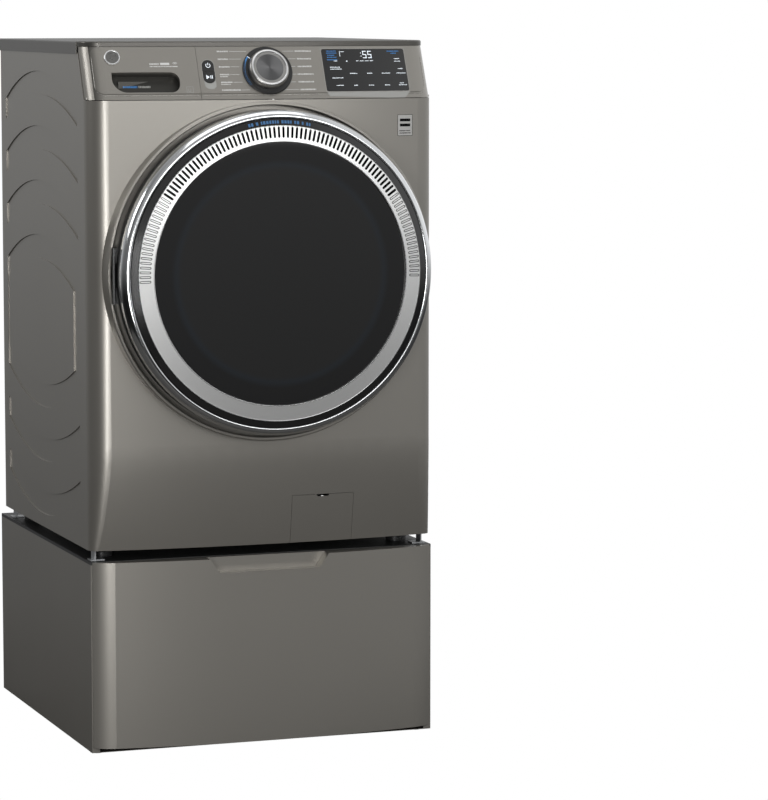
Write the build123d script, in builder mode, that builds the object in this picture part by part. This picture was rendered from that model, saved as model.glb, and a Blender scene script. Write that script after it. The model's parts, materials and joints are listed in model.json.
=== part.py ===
"""Front load washing machine, standing on its storage drawer pedestal.

Frame: X across the machine (+X is the right side seen from the front), Y from the front to the rear, Z up.
The origin is on the floor, under the middle of the bounding box. Millimetres.
"""
from build123d import *
from math import atan2, cos, radians, sin, tan
import os

# ---------------------------------------------------------------- driving dimensions
WIDTH = 711.0                   # cabinet and pedestal, 28 in
HALF = WIDTH / 2
FRONT = -280.0                  # plane of the cabinet's front vertical edges
DEPTH = 663.0                   # cabinet side, front edge to rear panel
REAR = FRONT + DEPTH
SHEET = 1.2                     # painted steel sheet
GAP = 0.6                       # visible joint line between outer panels

BOTTOM = 407.0                  # lower edge of the cabinet
SEAM = 1287.0                   # joint between front panel and console
LID_FOOT = 1390.0               # underside of the lid's front edge
LID_SKIRT = 25.0
TOP = 1400.0

BOW = 66.0                      # how far the middle of the front stands ahead of its corners
CORNER_R = 44.0
# height, how far the foot draws back
TUCKS = ((612.0, 0.0), (572.0, 1.3), (530.0, 5.2), (470.0, 13.4), (BOTTOM, 25.0))

LEAN = 25.0                     # console leans back by this angle
LEAN_DIR = (0, sin(radians(LEAN)), cos(radians(LEAN)))
FACE_LOW = 7.0                  # from the console's lower edge to the zero line of its controls

AXIS_Z = 951.0                  # door and drum centre height
OPENING_R = 205.0
HINGE_X = -322.5                # door hinge, in the gap beside the door
HINGE_AHEAD = 88.0
HINGE_PIN_R = 1.6

TUB_R = 289.0
DRUM_R = 268.0
SHAFT_R = 15.0
PULLEY_R = 150.0
MOTOR_X = 90.0
MOTOR_Z = 590.0
MOTOR_PULLEY_R = 11.0
SLIDING = 0.05                  # radial clearance of a shaft in a bush

PEDESTAL_BASE = 6.0             # underside of the pedestal shell, above the floor
PEDESTAL_TOP = 386.0
PEDESTAL_DEPTH = 703.0          # from the washer's front edges to the pedestal's rear
PEDESTAL_LIP = 20.0             # the pedestal's front edges stand this far ahead of the washer's


def back(distance):
    """Y at a distance behind the plane of the front edges."""
    return FRONT + distance


def ahead(distance):
    """Y at a distance ahead of the plane of the front edges."""
    return FRONT - distance


os.makedirs("parts", exist_ok=True)


def save(builder, name):
    """Labels a finished piece and writes it as one STEP file."""
    builder.part.label = name
    export_step(builder.part, f"parts/{name}.step")


# ---------------------------------------------------------------- shared outlines
def bow_radius(tuck):
    """Radius of the wide arc that runs tangent to both corner arcs."""
    corner = CORNER_R - tuck
    crown = BOW - tuck
    return ((HALF - corner)**2 + crown**2 - corner**2) / (2 * (crown - corner))


def front_points(inset, tuck):
    """Seven points along the bowed front from left to right, set in by an inset and drawn back by a tuck."""
    corner = CORNER_R - tuck
    crown = BOW - tuck
    centre_x = HALF - corner
    tangent = atan2(crown - bow_radius(tuck), centre_x)
    radius = corner - inset
    right = [(centre_x + radius * cos(t), FRONT + radius * sin(t)) for t in (tangent, tangent / 2, 0.0)]
    left = [(-x, y) for x, y in reversed(right)]
    return left + [(0.0, ahead(crown - inset))] + right


def front_curve(inset, tuck):
    """Draws the bowed front curve and returns its two ends."""
    p = front_points(inset, tuck)
    ThreePointArc(p[0], p[1], p[2])
    ThreePointArc(p[2], p[3], p[4])
    ThreePointArc(p[4], p[5], p[6])
    return p[0], p[6]


def front_strip(thickness, inset=0.0, tuck=0.0):
    """Adds to the sketch the strip between the bowed front curve and a copy further in."""
    with BuildLine() as outline:
        outer_left, outer_right = front_curve(inset, tuck)
        inner_left, inner_right = front_curve(inset + thickness, tuck)
        Line(outer_left, inner_left)
        Line(outer_right, inner_right)
    make_face(outline.edges())


def front_layer(thickness, inset):
    """Adds a sheet that follows the bowed front, straight at the top and drawn back at the foot."""
    with BuildSketch(Plane.XY.offset(TUCKS[0][0])) as plan:
        front_strip(thickness, inset)
    extrude(plan.sketch, amount=SEAM - GAP - TUCKS[0][0])
    sections = []
    for height, tuck in TUCKS:
        with BuildSketch(Plane.XY.offset(height)) as section:
            front_strip(thickness, inset, tuck)
        sections.append(section.sketch)
    loft(sections)


def console_layer(thickness, inset):
    """Adds a sheet that follows the bowed front and leans back, from the seam to the lid."""
    with BuildSketch(Plane.XY.offset(SEAM + GAP)) as plan:
        front_strip(thickness, inset)
    extrude(plan.sketch, amount=(LID_FOOT - SEAM - 2 * GAP) / cos(radians(LEAN)), dir=LEAN_DIR)


def face_plane(x, rise):
    """Plane on the console's face at a place across it and up its slope, looking outwards."""
    slope = x / bow_radius(0)
    climb = rise + FACE_LOW
    crown = BOW - x * slope / 2
    origin = (x, ahead(crown - climb * LEAN_DIR[1]), SEAM + GAP + climb * LEAN_DIR[2])
    normal = (slope * LEAN_DIR[2], -LEAN_DIR[2], LEAN_DIR[1])
    return Plane(origin=origin, x_dir=(1, slope, 0), z_dir=normal)


def keep_window(x_low, x_high, z_low, z_high, radius=0.0):
    """Keeps only what lies inside an upright window, seen from the front."""
    with BuildSketch(Plane.XZ.offset(-back(200))) as window:
        with Locations(((x_low + x_high) / 2, (z_low + z_high) / 2)):
            if radius:
                RectangleRounded(x_high - x_low, z_high - z_low, radius)
            else:
                Rectangle(x_high - x_low, z_high - z_low)
    extrude(window.sketch, amount=400, mode=Mode.INTERSECT)


def face_height(rise):
    """Height of a place up the console's slope."""
    return SEAM + GAP + (rise + FACE_LOW) * LEAN_DIR[2]


def turned(points, x=0.0, z=AXIS_Z, mode=Mode.ADD):
    """Revolves a closed profile of (radius, distance ahead) about a front-to-rear axis."""
    with BuildSketch(Plane(origin=(x, 0, z))) as profile:
        with BuildLine() as outline:
            Polyline(*[(r, ahead(d)) for r, d in points], close=True)
        make_face(outline.edges())
    revolve(profile.sketch, axis=Axis((x, 0, z), (0, 1, 0)), mode=mode)


def tube(x, z, outer, inner, start, end, mode=Mode.ADD):
    """A tube along Y between two distances behind the front edges; an inner radius of 0 makes a rod."""
    with BuildSketch(Plane(origin=(x, back(start), z), x_dir=(1, 0, 0), z_dir=(0, 1, 0))) as section:
        Circle(outer)
        if inner:
            Circle(inner, mode=Mode.SUBTRACT)
    extrude(section.sketch, amount=end - start, mode=mode)


def post(x, y, low, high, outer, inner=0.0, mode=Mode.ADD):
    """An upright tube or rod."""
    with BuildSketch(Plane(origin=(x, y, low))) as section:
        Circle(outer)
        if inner:
            Circle(inner, mode=Mode.SUBTRACT)
    extrude(section.sketch, amount=high - low, mode=mode)


def block(low, high, mode=Mode.ADD):
    """A box between two corners, given as (x, distance behind the front edges, z)."""
    size = [h - l for l, h in zip(low, high)]
    middle = [(h + l) / 2 for l, h in zip(low, high)]
    with Locations((middle[0], back(middle[1]), middle[2])):
        Box(*size, mode=mode)


# ---------------------------------------------------------------- side panels
SLOT_BACK = 624.0               # the embossed bands run between these distances behind the front edges
SLOT_FRONT = 50.0
BAND_MIDDLE = 345.0
BAND_PITCH = 110.5
BAND_TOP = 1339.0               # crown of the highest band
BAND_CENTRE = 830.5             # the bands below this height mirror those above
EMBOSS = 2.4
PANEL_TOP = 1378.0
CONSOLE_RUN = (PANEL_TOP - SEAM) * tan(radians(LEAN))
HANGER_Z = 1352.0
HANGERS = (330.0, 500.0)        # front and rear suspension springs, behind the front edges
SPRING_X = 262.0


def arch(crown, drop_back, drop_front, up, start=SLOT_BACK, end=SLOT_FRONT):
    """One arched edge of a band; returns its ends."""
    a = (back(start), crown - up * drop_back)
    b = (back(end), crown - up * drop_front)
    ThreePointArc(a, (back(BAND_MIDDLE), crown), b)
    return a, b


def band(crown, up):
    """One embossed band between two arches."""
    with BuildLine() as outline:
        a, b = arch(crown, 62, 74, up)
        c, d = arch(crown - up * 50, 58, 57, up)
        Line(a, c)
        Line(b, d)
    make_face(outline.edges())


def plateau(crown, drop_back, drop_front, start, end, mode):
    """The outline that surrounds, or bounds, the middle plateau."""
    with BuildLine() as outline:
        a, b = arch(crown, drop_back, drop_front, 1, start, end)
        c, d = arch(2 * BAND_CENTRE - crown, drop_back, drop_front, -1, start, end)
        Line(a, c)
        Line(b, d)
    make_face(outline.edges(), mode=mode)


def stamped_bands(inward, wall):
    """The stiffening pattern at a distance in from the outer face, shrunk by a wall thickness."""
    with BuildSketch(Plane.YZ.offset(-HALF + inward)) as pattern:
        for i in range(3):
            band(BAND_TOP - i * BAND_PITCH, 1)
        for i in range(1, 3):
            band(2 * BAND_CENTRE - BAND_TOP + i * BAND_PITCH, -1)
        plateau(1007, 62, 74, SLOT_BACK, SLOT_FRONT, Mode.ADD)
        plateau(957, 54, 48, SLOT_BACK - 14, SLOT_FRONT + 43, Mode.SUBTRACT)
        if wall:
            offset(amount=-wall, mode=Mode.REPLACE)
    return pattern.sketch


with BuildPart() as left_side_panel:
    with BuildSketch(Plane.YZ.offset(-HALF)):
        with BuildLine():
            Polyline(
                (back(GAP), BOTTOM), (back(GAP), SEAM), (back(GAP + CONSOLE_RUN), PANEL_TOP),
                (REAR, PANEL_TOP), (REAR, BOTTOM), close=True,
            )
        make_face()
    extrude(amount=SHEET)
    extrude(stamped_bands(SHEET, 0.0), amount=EMBOSS)
    extrude(stamped_bands(0.0, SHEET), amount=EMBOSS, mode=Mode.SUBTRACT)
    # inward flanges along the front, rear, top and foot
    block((-HALF, GAP, BOTTOM), (-HALF + 14, GAP + SHEET, SEAM))
    block((-HALF, DEPTH - SHEET, BOTTOM), (-HALF + 16, DEPTH, PANEL_TOP))
    block((-HALF, 60, PANEL_TOP - SHEET), (-HALF + 30, DEPTH, PANEL_TOP))
    block((-HALF, GAP, BOTTOM), (-HALF + 20, DEPTH, BOTTOM + SHEET))
    # hangers for the suspension springs
    for y in HANGERS:
        block((-HALF + SHEET, y - 14, HANGER_Z), (-SPRING_X + 8, y + 14, HANGER_Z + 2.5))
        block((-HALF + SHEET, y - 14, HANGER_Z), (-HALF + 2 * SHEET, y + 14, PANEL_TOP - SHEET))
save(left_side_panel, "left_side_panel")

with BuildPart() as right_side_panel:
    mirror(left_side_panel.part, about=Plane.YZ)
save(right_side_panel, "right_side_panel")

# ---------------------------------------------------------------- rear panel, service cover and lid
ACCESS_HALF = 215.0             # the service opening behind the pulley
ACCESS_LOW = 480.0
ACCESS_HIGH = 1190.0
ACCESS_MIDDLE = (0, (ACCESS_LOW + ACCESS_HIGH) / 2)
ACCESS_TALL = ACCESS_HIGH - ACCESS_LOW
VALVE_XS = (-262.0, -202.0)     # hot and cold inlets
VALVE_Z = 1318.0
FITTING_R = 13.2                # 3/4 in hose thread
DRAIN_X, DRAIN_Z = 250.0, 1262.0
DRAIN_R = 15.0
GLAND_X, GLAND_Z = 262.0, 1322.0

with BuildPart() as rear_panel:
    with BuildSketch(Plane.XZ.offset(-REAR)):
        with Locations((0, (BOTTOM + PANEL_TOP) / 2)):
            Rectangle(WIDTH - 1, PANEL_TOP - BOTTOM)
        with Locations(ACCESS_MIDDLE):
            RectangleRounded(2 * ACCESS_HALF, ACCESS_TALL, 60, mode=Mode.SUBTRACT)
        with Locations(*[(x, VALVE_Z) for x in VALVE_XS]):
            Circle(FITTING_R + 1.5, mode=Mode.SUBTRACT)
        with Locations((DRAIN_X, DRAIN_Z)):
            Circle(DRAIN_R + 1.5, mode=Mode.SUBTRACT)
        with Locations((GLAND_X, GLAND_Z)):
            Circle(9, mode=Mode.SUBTRACT)
    extrude(amount=-SHEET)
    # stiffening ribs beside the service opening
    with BuildSketch(Plane.XZ.offset(-REAR - SHEET)):
        with GridLocations(560, 90, 2, 7):
            with Locations(ACCESS_MIDDLE):
                RectangleRounded(64, 24, 10)
    extrude(amount=-2.5, taper=20)
save(rear_panel, "rear_panel")

COVER_LIP = 12.0
COVER_Y = REAR + SHEET + 0.1
with BuildPart() as rear_access_cover:
    with BuildSketch(Plane.XZ.offset(-COVER_Y)):
        with Locations(ACCESS_MIDDLE):
            RectangleRounded(2 * (ACCESS_HALF + COVER_LIP), ACCESS_TALL + 2 * COVER_LIP, 66)
    extrude(amount=-SHEET)
    with BuildSketch(Plane.XZ.offset(-COVER_Y - SHEET)):
        with Locations(ACCESS_MIDDLE):
            RectangleRounded(2 * ACCESS_HALF - 20, ACCESS_TALL - 20, 54)
    extrude(amount=-6)
    with BuildSketch(Plane.XZ.offset(-COVER_Y)):
        with Locations(ACCESS_MIDDLE):
            RectangleRounded(2 * ACCESS_HALF - 23, ACCESS_TALL - 23, 52)
    extrude(amount=-6, mode=Mode.SUBTRACT)
save(rear_access_cover, "rear_access_cover")

LID_OVERHANG = 2.0
LID_SHIFT = (LID_FOOT - SEAM) * tan(radians(LEAN))      # the lid's front edge meets the leaning console
LID_REAR = DEPTH + 18
with BuildPart() as top_lid:
    with BuildSketch(Plane(origin=(0, LID_SHIFT, LID_FOOT))):
        with BuildLine():
            ends = front_curve(0.0, 0.0)
            Polyline(ends[0], (-HALF, back(60)), (HALF, back(60)), ends[1])
        make_face()
    extrude(amount=TOP - LID_FOOT)
    lid_x = HALF + LID_OVERHANG
    block((-lid_x, LID_SHIFT, TOP - LID_SKIRT), (lid_x, LID_REAR, TOP))
    block((-HALF - 0.4, LID_SHIFT - 1, TOP - LID_SKIRT), (HALF + 0.4, LID_REAR - 2, LID_FOOT), Mode.SUBTRACT)
    block((-HALF + 8, LID_SHIFT + 20, LID_FOOT), (HALF - 8, LID_REAR - 2, TOP - 2), Mode.SUBTRACT)
    fillet(top_lid.faces().sort_by(Axis.Z)[-1].edges(), 3)
save(top_lid, "top_lid")

# ---------------------------------------------------------------- front panel
PANEL_SHEET = 1.5
COLLAR = [
    (333, 22), (333, 77), (331, 79.5), (327, 79.5), (325, 77.5), (325, 58.2), (326.5, 58.2), (326.5, 77),
    (331.5, 77), (331.5, 22),
]
SURROUND = [                    # plate behind the door, with a lip for the gasket
    (OPENING_R, 46), (OPENING_R, 58), (331, 58), (331, 56.5), (OPENING_R + 1.5, 56.5), (OPENING_R + 1.5, 46),
]
PUMP_X = (48.0, 179.5)          # access cover, low on the right
PUMP_TOP = 504.0
PUMP_PIN = (28.0, 412.0)        # cover's hinge line: distance ahead, height
PUMP_PIN_R = 2.0
LATCH_X = 291.0
LATCH_HALF = 12.0
LATCH_SLOT = (15.0, 24.0)       # half width and half height of the opening for the latch


def foot_reach(x):
    """How far ahead the middle of the sheet stands at the foot of the front panel."""
    tuck = TUCKS[-1][1]
    return BOW - tuck - x**2 / (2 * bow_radius(tuck)) - PANEL_SHEET / 2


def latch_slot(front, rear):
    """Cuts the opening that the door latch enters, between two distances behind the front edges."""
    dx, dz = LATCH_SLOT
    block((LATCH_X - dx, front, AXIS_Z - dz), (LATCH_X + dx, rear, AXIS_Z + dz), Mode.SUBTRACT)


with BuildPart() as front_panel:
    front_layer(PANEL_SHEET, 0.0)
    tube(0, AXIS_Z, 332, 0, -100, 100, Mode.SUBTRACT)
    turned(COLLAR)
    block((PUMP_X[0], -100, BOTTOM - 1), (PUMP_X[1], 20, PUMP_TOP), Mode.SUBTRACT)
    # ears that carry the access cover's pins
    for x in (PUMP_X[0] - 5, PUMP_X[1] + 1):
        block((x, -foot_reach(x + 4), BOTTOM + 0.4), (x + 4, -PUMP_PIN[0] + 5, PUMP_PIN[1] + 5))
    with BuildSketch(Plane.YZ.offset(PUMP_X[0] - 10)):
        with Locations((ahead(PUMP_PIN[0]), PUMP_PIN[1])):
            Circle(PUMP_PIN_R + SLIDING)
    extrude(amount=160, mode=Mode.SUBTRACT)
save(front_panel, "front_panel")

with BuildPart() as door_surround:
    turned(SURROUND)
    latch_slot(-60, -54)
save(door_surround, "door_surround")

with BuildPart() as pump_cover:
    front_layer(PANEL_SHEET, 0.0)
    keep_window(PUMP_X[0] + GAP, PUMP_X[1] - GAP, BOTTOM - 1, PUMP_TOP - GAP)
    # coin notch in the top edge
    with BuildSketch(Plane.XZ.offset(-ahead(80))):
        with Locations((sum(PUMP_X) / 2, PUMP_TOP - 1)):
            SlotOverall(26, 7)
    extrude(amount=-60, mode=Mode.SUBTRACT)
    # hinge rod, held by ribs behind the lower edge
    for x in range(54, 176, 30):
        block((x - 2, -foot_reach(x + 2), PUMP_PIN[1] - 2), (x + 2, -PUMP_PIN[0] + 1, PUMP_PIN[1] + 2))
    with BuildSketch(Plane.YZ.offset(PUMP_X[0] - 4.5)):
        with Locations((ahead(PUMP_PIN[0]), PUMP_PIN[1])):
            Circle(PUMP_PIN_R)
    extrude(amount=PUMP_X[1] - PUMP_X[0] + 9)
save(pump_cover, "pump_cover")

# ---------------------------------------------------------------- console
DRAWER_EDGE = -135.0            # seam between dispenser drawer and console
RAISED_X = 341.0
RAISED = 1.5                    # the control face stands this far proud
DISPLAY_X = (123.0, 302.0)
DISPLAY_RISE = (8.0, 98.7)
KNOB_X, KNOB_RISE = 5.0, 53.0
KNOB_SHAFT_R = 4.0
PILL_X = -114.5
PILL_R = 11.5
POWER_RISE = (52.6, 76.0)
START_RISE = (28.0, 51.4)


def pill_half(low, high, clearance, round_top):
    """Half of a two-part pill outline in the face plane; one end is round and the other straight."""
    with BuildSketch(face_plane(PILL_X, (low + high) / 2)) as outline:
        half = (high - low) / 2 + clearance
        Rectangle(2 * (PILL_R + clearance), 2 * half)
        ends = outline.vertices().group_by(Axis.Y)[-1 if round_top else 0]
        fillet(ends, PILL_R)
    return outline.sketch


def raised_face(x_low, x_high, rounded_low, rounded_high):
    """Adds the raised control face between two places, rounded towards the ends that lie further out."""
    console_layer(RAISED, 0.0)
    keep_window(rounded_low, rounded_high, face_height(6), face_height(105), 18)
    keep_window(x_low, x_high, SEAM, LID_FOOT)


with BuildPart() as raised_right:
    raised_face(DRAWER_EDGE + GAP / 2, RAISED_X, DRAWER_EDGE - 60, RAISED_X)

with BuildPart() as raised_left:
    raised_face(-RAISED_X, DRAWER_EDGE - GAP / 2, -RAISED_X, DRAWER_EDGE + 60)

with BuildPart() as corner_strip:
    console_layer(2.5, RAISED)
    keep_window(-HALF - 1, -RAISED_X - GAP, SEAM, LID_FOOT)

with BuildPart() as console_fascia:
    console_layer(2.5, RAISED)
    keep_window(DRAWER_EDGE + GAP / 2, HALF + 1, SEAM, LID_FOOT)
    add(raised_right.part)
    add(corner_strip.part)
    # rail behind the drawer front that joins the corner to the rest
    block((-HALF + 2, 20, SEAM + 1), (HALF - 2, 24, SEAM + 5))
    for x in (-HALF + 2, DRAWER_EDGE + 4, HALF - 6):
        block((x, -12, SEAM + 1), (x + 4, 24, SEAM + 5))
    # openings for the window, the two buttons and the knob's shaft
    with BuildSketch(Plane.XZ.offset(-back(200))) as window:
        low, high = face_height(DISPLAY_RISE[0]), face_height(DISPLAY_RISE[1])
        with Locations((sum(DISPLAY_X) / 2, (low + high) / 2)):
            RectangleRounded(
                DISPLAY_X[1] - DISPLAY_X[0],
                face_height(DISPLAY_RISE[1]) - face_height(DISPLAY_RISE[0]), 4,
            )
    extrude(window.sketch, amount=400, mode=Mode.SUBTRACT)
    extrude(pill_half(*POWER_RISE, 0.4, True), amount=12, both=True, mode=Mode.SUBTRACT)
    extrude(pill_half(*START_RISE, 0.4, False), amount=12, both=True, mode=Mode.SUBTRACT)
    with BuildSketch(face_plane(KNOB_X, KNOB_RISE)):
        Circle(KNOB_SHAFT_R + SLIDING)
    extrude(amount=12, both=True, mode=Mode.SUBTRACT)
save(console_fascia, "console_fascia")

with BuildPart() as display_window:
    console_layer(3.0, 0.3)
    keep_window(
        DISPLAY_X[0] + 0.3, DISPLAY_X[1] - 0.3,
        face_height(DISPLAY_RISE[0]) + 0.3, face_height(DISPLAY_RISE[1]) - 0.3, 3.7,
    )
save(display_window, "display_window")

for pill_name, rise, round_top in (("power_button", POWER_RISE, True), ("start_button", START_RISE, False)):
    with BuildPart() as pill_button:
        extrude(pill_half(*rise, 0.0, round_top), amount=1.2)
        extrude(pill_half(*rise, 0.0, round_top), amount=-6)
        with BuildSketch(face_plane(PILL_X, sum(rise) / 2).offset(-6)):
            Rectangle(2 * PILL_R + 4, rise[1] - rise[0] - 4)
        extrude(amount=-2)
    save(pill_button, pill_name)

KNOB_FACE_R = 33.0
KNOB_RING_R = 41.0
KNOB_BASE_R = 50.5
with BuildPart() as knob_base_ring:
    with BuildSketch(face_plane(KNOB_X, KNOB_RISE)):
        Circle(KNOB_BASE_R)
        Circle(20, mode=Mode.SUBTRACT)
    extrude(amount=4)
    chamfer(knob_base_ring.faces().sort_by(Axis.Y)[0].edges().sort_by(SortBy.LENGTH)[-1], 1.5)
save(knob_base_ring, "knob_base_ring")

with BuildPart() as knob_ring:
    with BuildSketch(face_plane(KNOB_X, KNOB_RISE).offset(4.6)):
        Circle(KNOB_RING_R)
        Circle(KNOB_FACE_R, mode=Mode.SUBTRACT)
    extrude(amount=14)
    chamfer(knob_ring.edges().filter_by(GeomType.CIRCLE).group_by(Axis.Y)[0], 2.5)
save(knob_ring, "knob_ring")

with BuildPart() as knob_cap:
    with BuildSketch(face_plane(KNOB_X, KNOB_RISE).offset(4.6)):
        Circle(KNOB_FACE_R)
    extrude(amount=12.5)
    with BuildSketch(face_plane(KNOB_X, KNOB_RISE).offset(-12)):
        Circle(KNOB_SHAFT_R)
    extrude(amount=17)
save(knob_cap, "knob_cap")

# ---------------------------------------------------------------- dispenser
HANDLE_X, HANDLE_RISE = -240.5, 30.0
HANDLE_SIZE = (133.0, 42.5)
HANDLE_DEPTH = 22.0
TRAY_X = (-328.0, -148.0)
TRAY_Y = (2.0, 232.0)
TRAY_Z = (1300.0, 1356.0)


def handle_outline(grow, lift):
    """The drawer's finger scoop: flat top, generous lower left corner, round right end."""
    with BuildSketch(face_plane(HANDLE_X, HANDLE_RISE).offset(lift)) as outline:
        Rectangle(HANDLE_SIZE[0] + 2 * grow, HANDLE_SIZE[1] + 2 * grow)
        fillet(outline.vertices().group_by(Axis.X)[-1], 18)
        fillet(outline.vertices().group_by(Axis.X)[0].sort_by(Axis.Y)[0], 30)
    return outline.sketch


with BuildPart() as dispenser_front:
    console_layer(2.5, RAISED)
    keep_window(-RAISED_X, DRAWER_EDGE - GAP / 2, SEAM, LID_FOOT)
    add(raised_left.part)
    extrude(handle_outline(2, -2), amount=-HANDLE_DEPTH)
    extrude(handle_outline(0, 0), amount=5, mode=Mode.SUBTRACT)
    extrude(handle_outline(0, 0), amount=-HANDLE_DEPTH, mode=Mode.SUBTRACT)
    # boss that carries the tray
    block((-290, -14, TRAY_Z[0] + 2), (-190, TRAY_Y[0], TRAY_Z[0] + 22))
save(dispenser_front, "dispenser_front")

with BuildPart() as dispenser_tray:
    block((TRAY_X[0], TRAY_Y[0], TRAY_Z[0]), (TRAY_X[1], TRAY_Y[1], TRAY_Z[1]))
    y_low, y_high, z_low = TRAY_Y[0] + 2.5, TRAY_Y[1] - 2.5, TRAY_Z[0] + 2.5
    for x_low, x_high in ((TRAY_X[0] + 2.5, -270.0), (-267.5, -210.0), (-207.5, TRAY_X[1] - 2.5)):
        block((x_low, y_low, z_low), (x_high, y_high, TRAY_Z[1] + 1), Mode.SUBTRACT)
save(dispenser_tray, "dispenser_tray")

with BuildPart() as dispenser_housing:
    block((TRAY_X[0] - 6, 4, TRAY_Z[0] - 6), (TRAY_X[1] + 6, TRAY_Y[1] + 16, TRAY_Z[1] + 6))
    block((TRAY_X[0] - 3, 3, TRAY_Z[0] - 3), (TRAY_X[1] + 3, TRAY_Y[1] + 13, TRAY_Z[1] + 3), Mode.SUBTRACT)
save(dispenser_housing, "dispenser_housing")

# ---------------------------------------------------------------- water and power at the rear
with BuildPart() as inlet_valve:
    block((-290, 612, VALVE_Z - 26), (-174, DEPTH - 2, VALVE_Z + 26))
    for x in VALVE_XS:
        tube(x, VALVE_Z, FITTING_R, 9, DEPTH - 2, DEPTH + 30)
save(inlet_valve, "inlet_valve")

with BuildPart() as fill_hose:
    tube(-232, 1335, 9, 6.5, TRAY_Y[1] + 16, 612)
save(fill_hose, "fill_hose")

with BuildPart() as drain_outlet:
    tube(DRAIN_X, DRAIN_Z, DRAIN_R, 12, DEPTH - 20, DEPTH + 34)
    tube(DRAIN_X, DRAIN_Z, DRAIN_R + 6, 12, DEPTH - 6, DEPTH)
save(drain_outlet, "drain_outlet")

with BuildPart() as cord_gland:
    tube(GLAND_X, GLAND_Z, 8.8, 4, DEPTH - 12, DEPTH + 14)
    tube(GLAND_X, GLAND_Z, 13, 4, DEPTH + SHEET, DEPTH + 6)
save(cord_gland, "cord_gland")

# ---------------------------------------------------------------- base, feet and brackets
BASE_LOW = BOTTOM + SHEET + 0.2
BASE_TOP = 428.0
DAMPER_X = 175.0
DAMPER_YS = (340.0, 490.0)
FOOT_X = 310.0
FOOT_YS = (62.0, 600.0)
PEDESTAL_FEET = ((-336, 18), (336, 18), (-336, 664), (336, 664))
FOOT_STEM_R = 6.0

with BuildPart() as base_frame:
    block((-352, 4, BASE_LOW), (352, DEPTH - 3, BASE_TOP))
    block((-330, 26, BASE_LOW - 1), (330, DEPTH - 25, BASE_TOP + 1), Mode.SUBTRACT)
    for y in DAMPER_YS:
        block((-335, y - 22, BASE_LOW), (335, y + 22, BASE_LOW + 8))
    for x in (-FOOT_X, FOOT_X):
        for y in FOOT_YS:
            block((x - 24, y - 24, BASE_LOW), (x + 24, y + 24, BASE_LOW + 6))
save(base_frame, "base_frame")

with BuildPart() as levelling_feet:
    # under the washer, each with a lock nut
    for x in (-FOOT_X, FOOT_X):
        for y in FOOT_YS:
            post(x, back(y), PEDESTAL_TOP, PEDESTAL_TOP + 9, 21)
            post(x, back(y), PEDESTAL_TOP + 9, BASE_LOW, 6)
            post(x, back(y), PEDESTAL_TOP + 13, PEDESTAL_TOP + 18, 10)
    # under the pedestal
    for x, y in PEDESTAL_FEET:
        post(x, back(y), 0, 5, 13)
        post(x, back(y), 5, 34, FOOT_STEM_R)
save(levelling_feet, "levelling_feet")

with BuildPart() as hold_down_brackets:
    for side in (-1, 1):
        for y in (14.0, 640.0):
            x_in, x_out = sorted((side * 322, side * 350))
            block((x_in, y - 16, PEDESTAL_TOP), (x_out, y + 10, PEDESTAL_TOP + 2))
            x_in, x_out = sorted((side * 340, side * 342.5))
            block((x_in, y - 16, PEDESTAL_TOP), (x_out, y + 10, BOTTOM - 0.2))
save(hold_down_brackets, "hold_down_brackets")

# ---------------------------------------------------------------- door
HINGE_INNER = 25.0              # half height of the fixed knuckle
HINGE_OUTER = 54.0
KNUCKLE_R = 3.4
HINGE_Y = ahead(HINGE_AHEAD)
with BuildPart() as door_hinge_plate:
    block((-323, -61, AXIS_Z - HINGE_INNER), (-250, -58, AXIS_Z + HINGE_INNER))
    block((-323.4, -HINGE_AHEAD, AXIS_Z - HINGE_INNER), (-320.6, -58, AXIS_Z + HINGE_INNER))
    post(HINGE_X, HINGE_Y, AXIS_Z - HINGE_INNER, AXIS_Z + HINGE_INNER, KNUCKLE_R)
    post(HINGE_X, HINGE_Y, AXIS_Z - HINGE_OUTER, AXIS_Z + HINGE_OUTER, HINGE_PIN_R)
save(door_hinge_plate, "door_hinge_plate")

TAB = [
    (-319.5, 78), (-319.5, 86), (-321.5, 86), (-321.5, 90), (-318.5, 90), (-318.5, 83.5), (-300, 83.5),
    (-300, 78),
]
with BuildPart() as door_hinge_arm:
    for low in (AXIS_Z - HINGE_OUTER, AXIS_Z + HINGE_INNER + 0.4):
        high = low + HINGE_OUTER - HINGE_INNER - 0.4
        with BuildSketch(Plane.XY.offset(low)):
            with BuildLine():
                Polyline(*[(x, ahead(d)) for x, d in TAB], close=True)
            make_face()
        extrude(amount=high - low)
        post(HINGE_X, HINGE_Y, low, high, KNUCKLE_R)
        post(HINGE_X, HINGE_Y, low - 1, high + 1, HINGE_PIN_R + SLIDING, mode=Mode.SUBTRACT)
save(door_hinge_arm, "door_hinge_arm")

with BuildPart() as door_chrome_ring:
    turned([
        (318, 84), (318, 118), (315, 123), (303, 134), (301, 133.5), (301, 127), (311, 118.5), (314, 113),
        (314, 84),
    ])
save(door_chrome_ring, "door_chrome_ring")

with BuildPart() as door_black_ring:
    turned([(300.8, 124), (300.8, 133.3), (289, 138.5), (288.3, 138.5), (288.3, 124)])
save(door_black_ring, "door_black_ring")

with BuildPart() as vent_ring:
    turned([
        (288, 124), (288, 139), (257, 143), (257, 131), (260, 131), (260, 139.6), (285, 136.3), (285, 124),
    ])
save(vent_ring, "vent_ring")

with BuildPart() as door_glass_outer:
    turned([(0, 131), (0, 140.5), (256.7, 138), (256.7, 131)])
save(door_glass_outer, "door_glass_outer")

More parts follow.
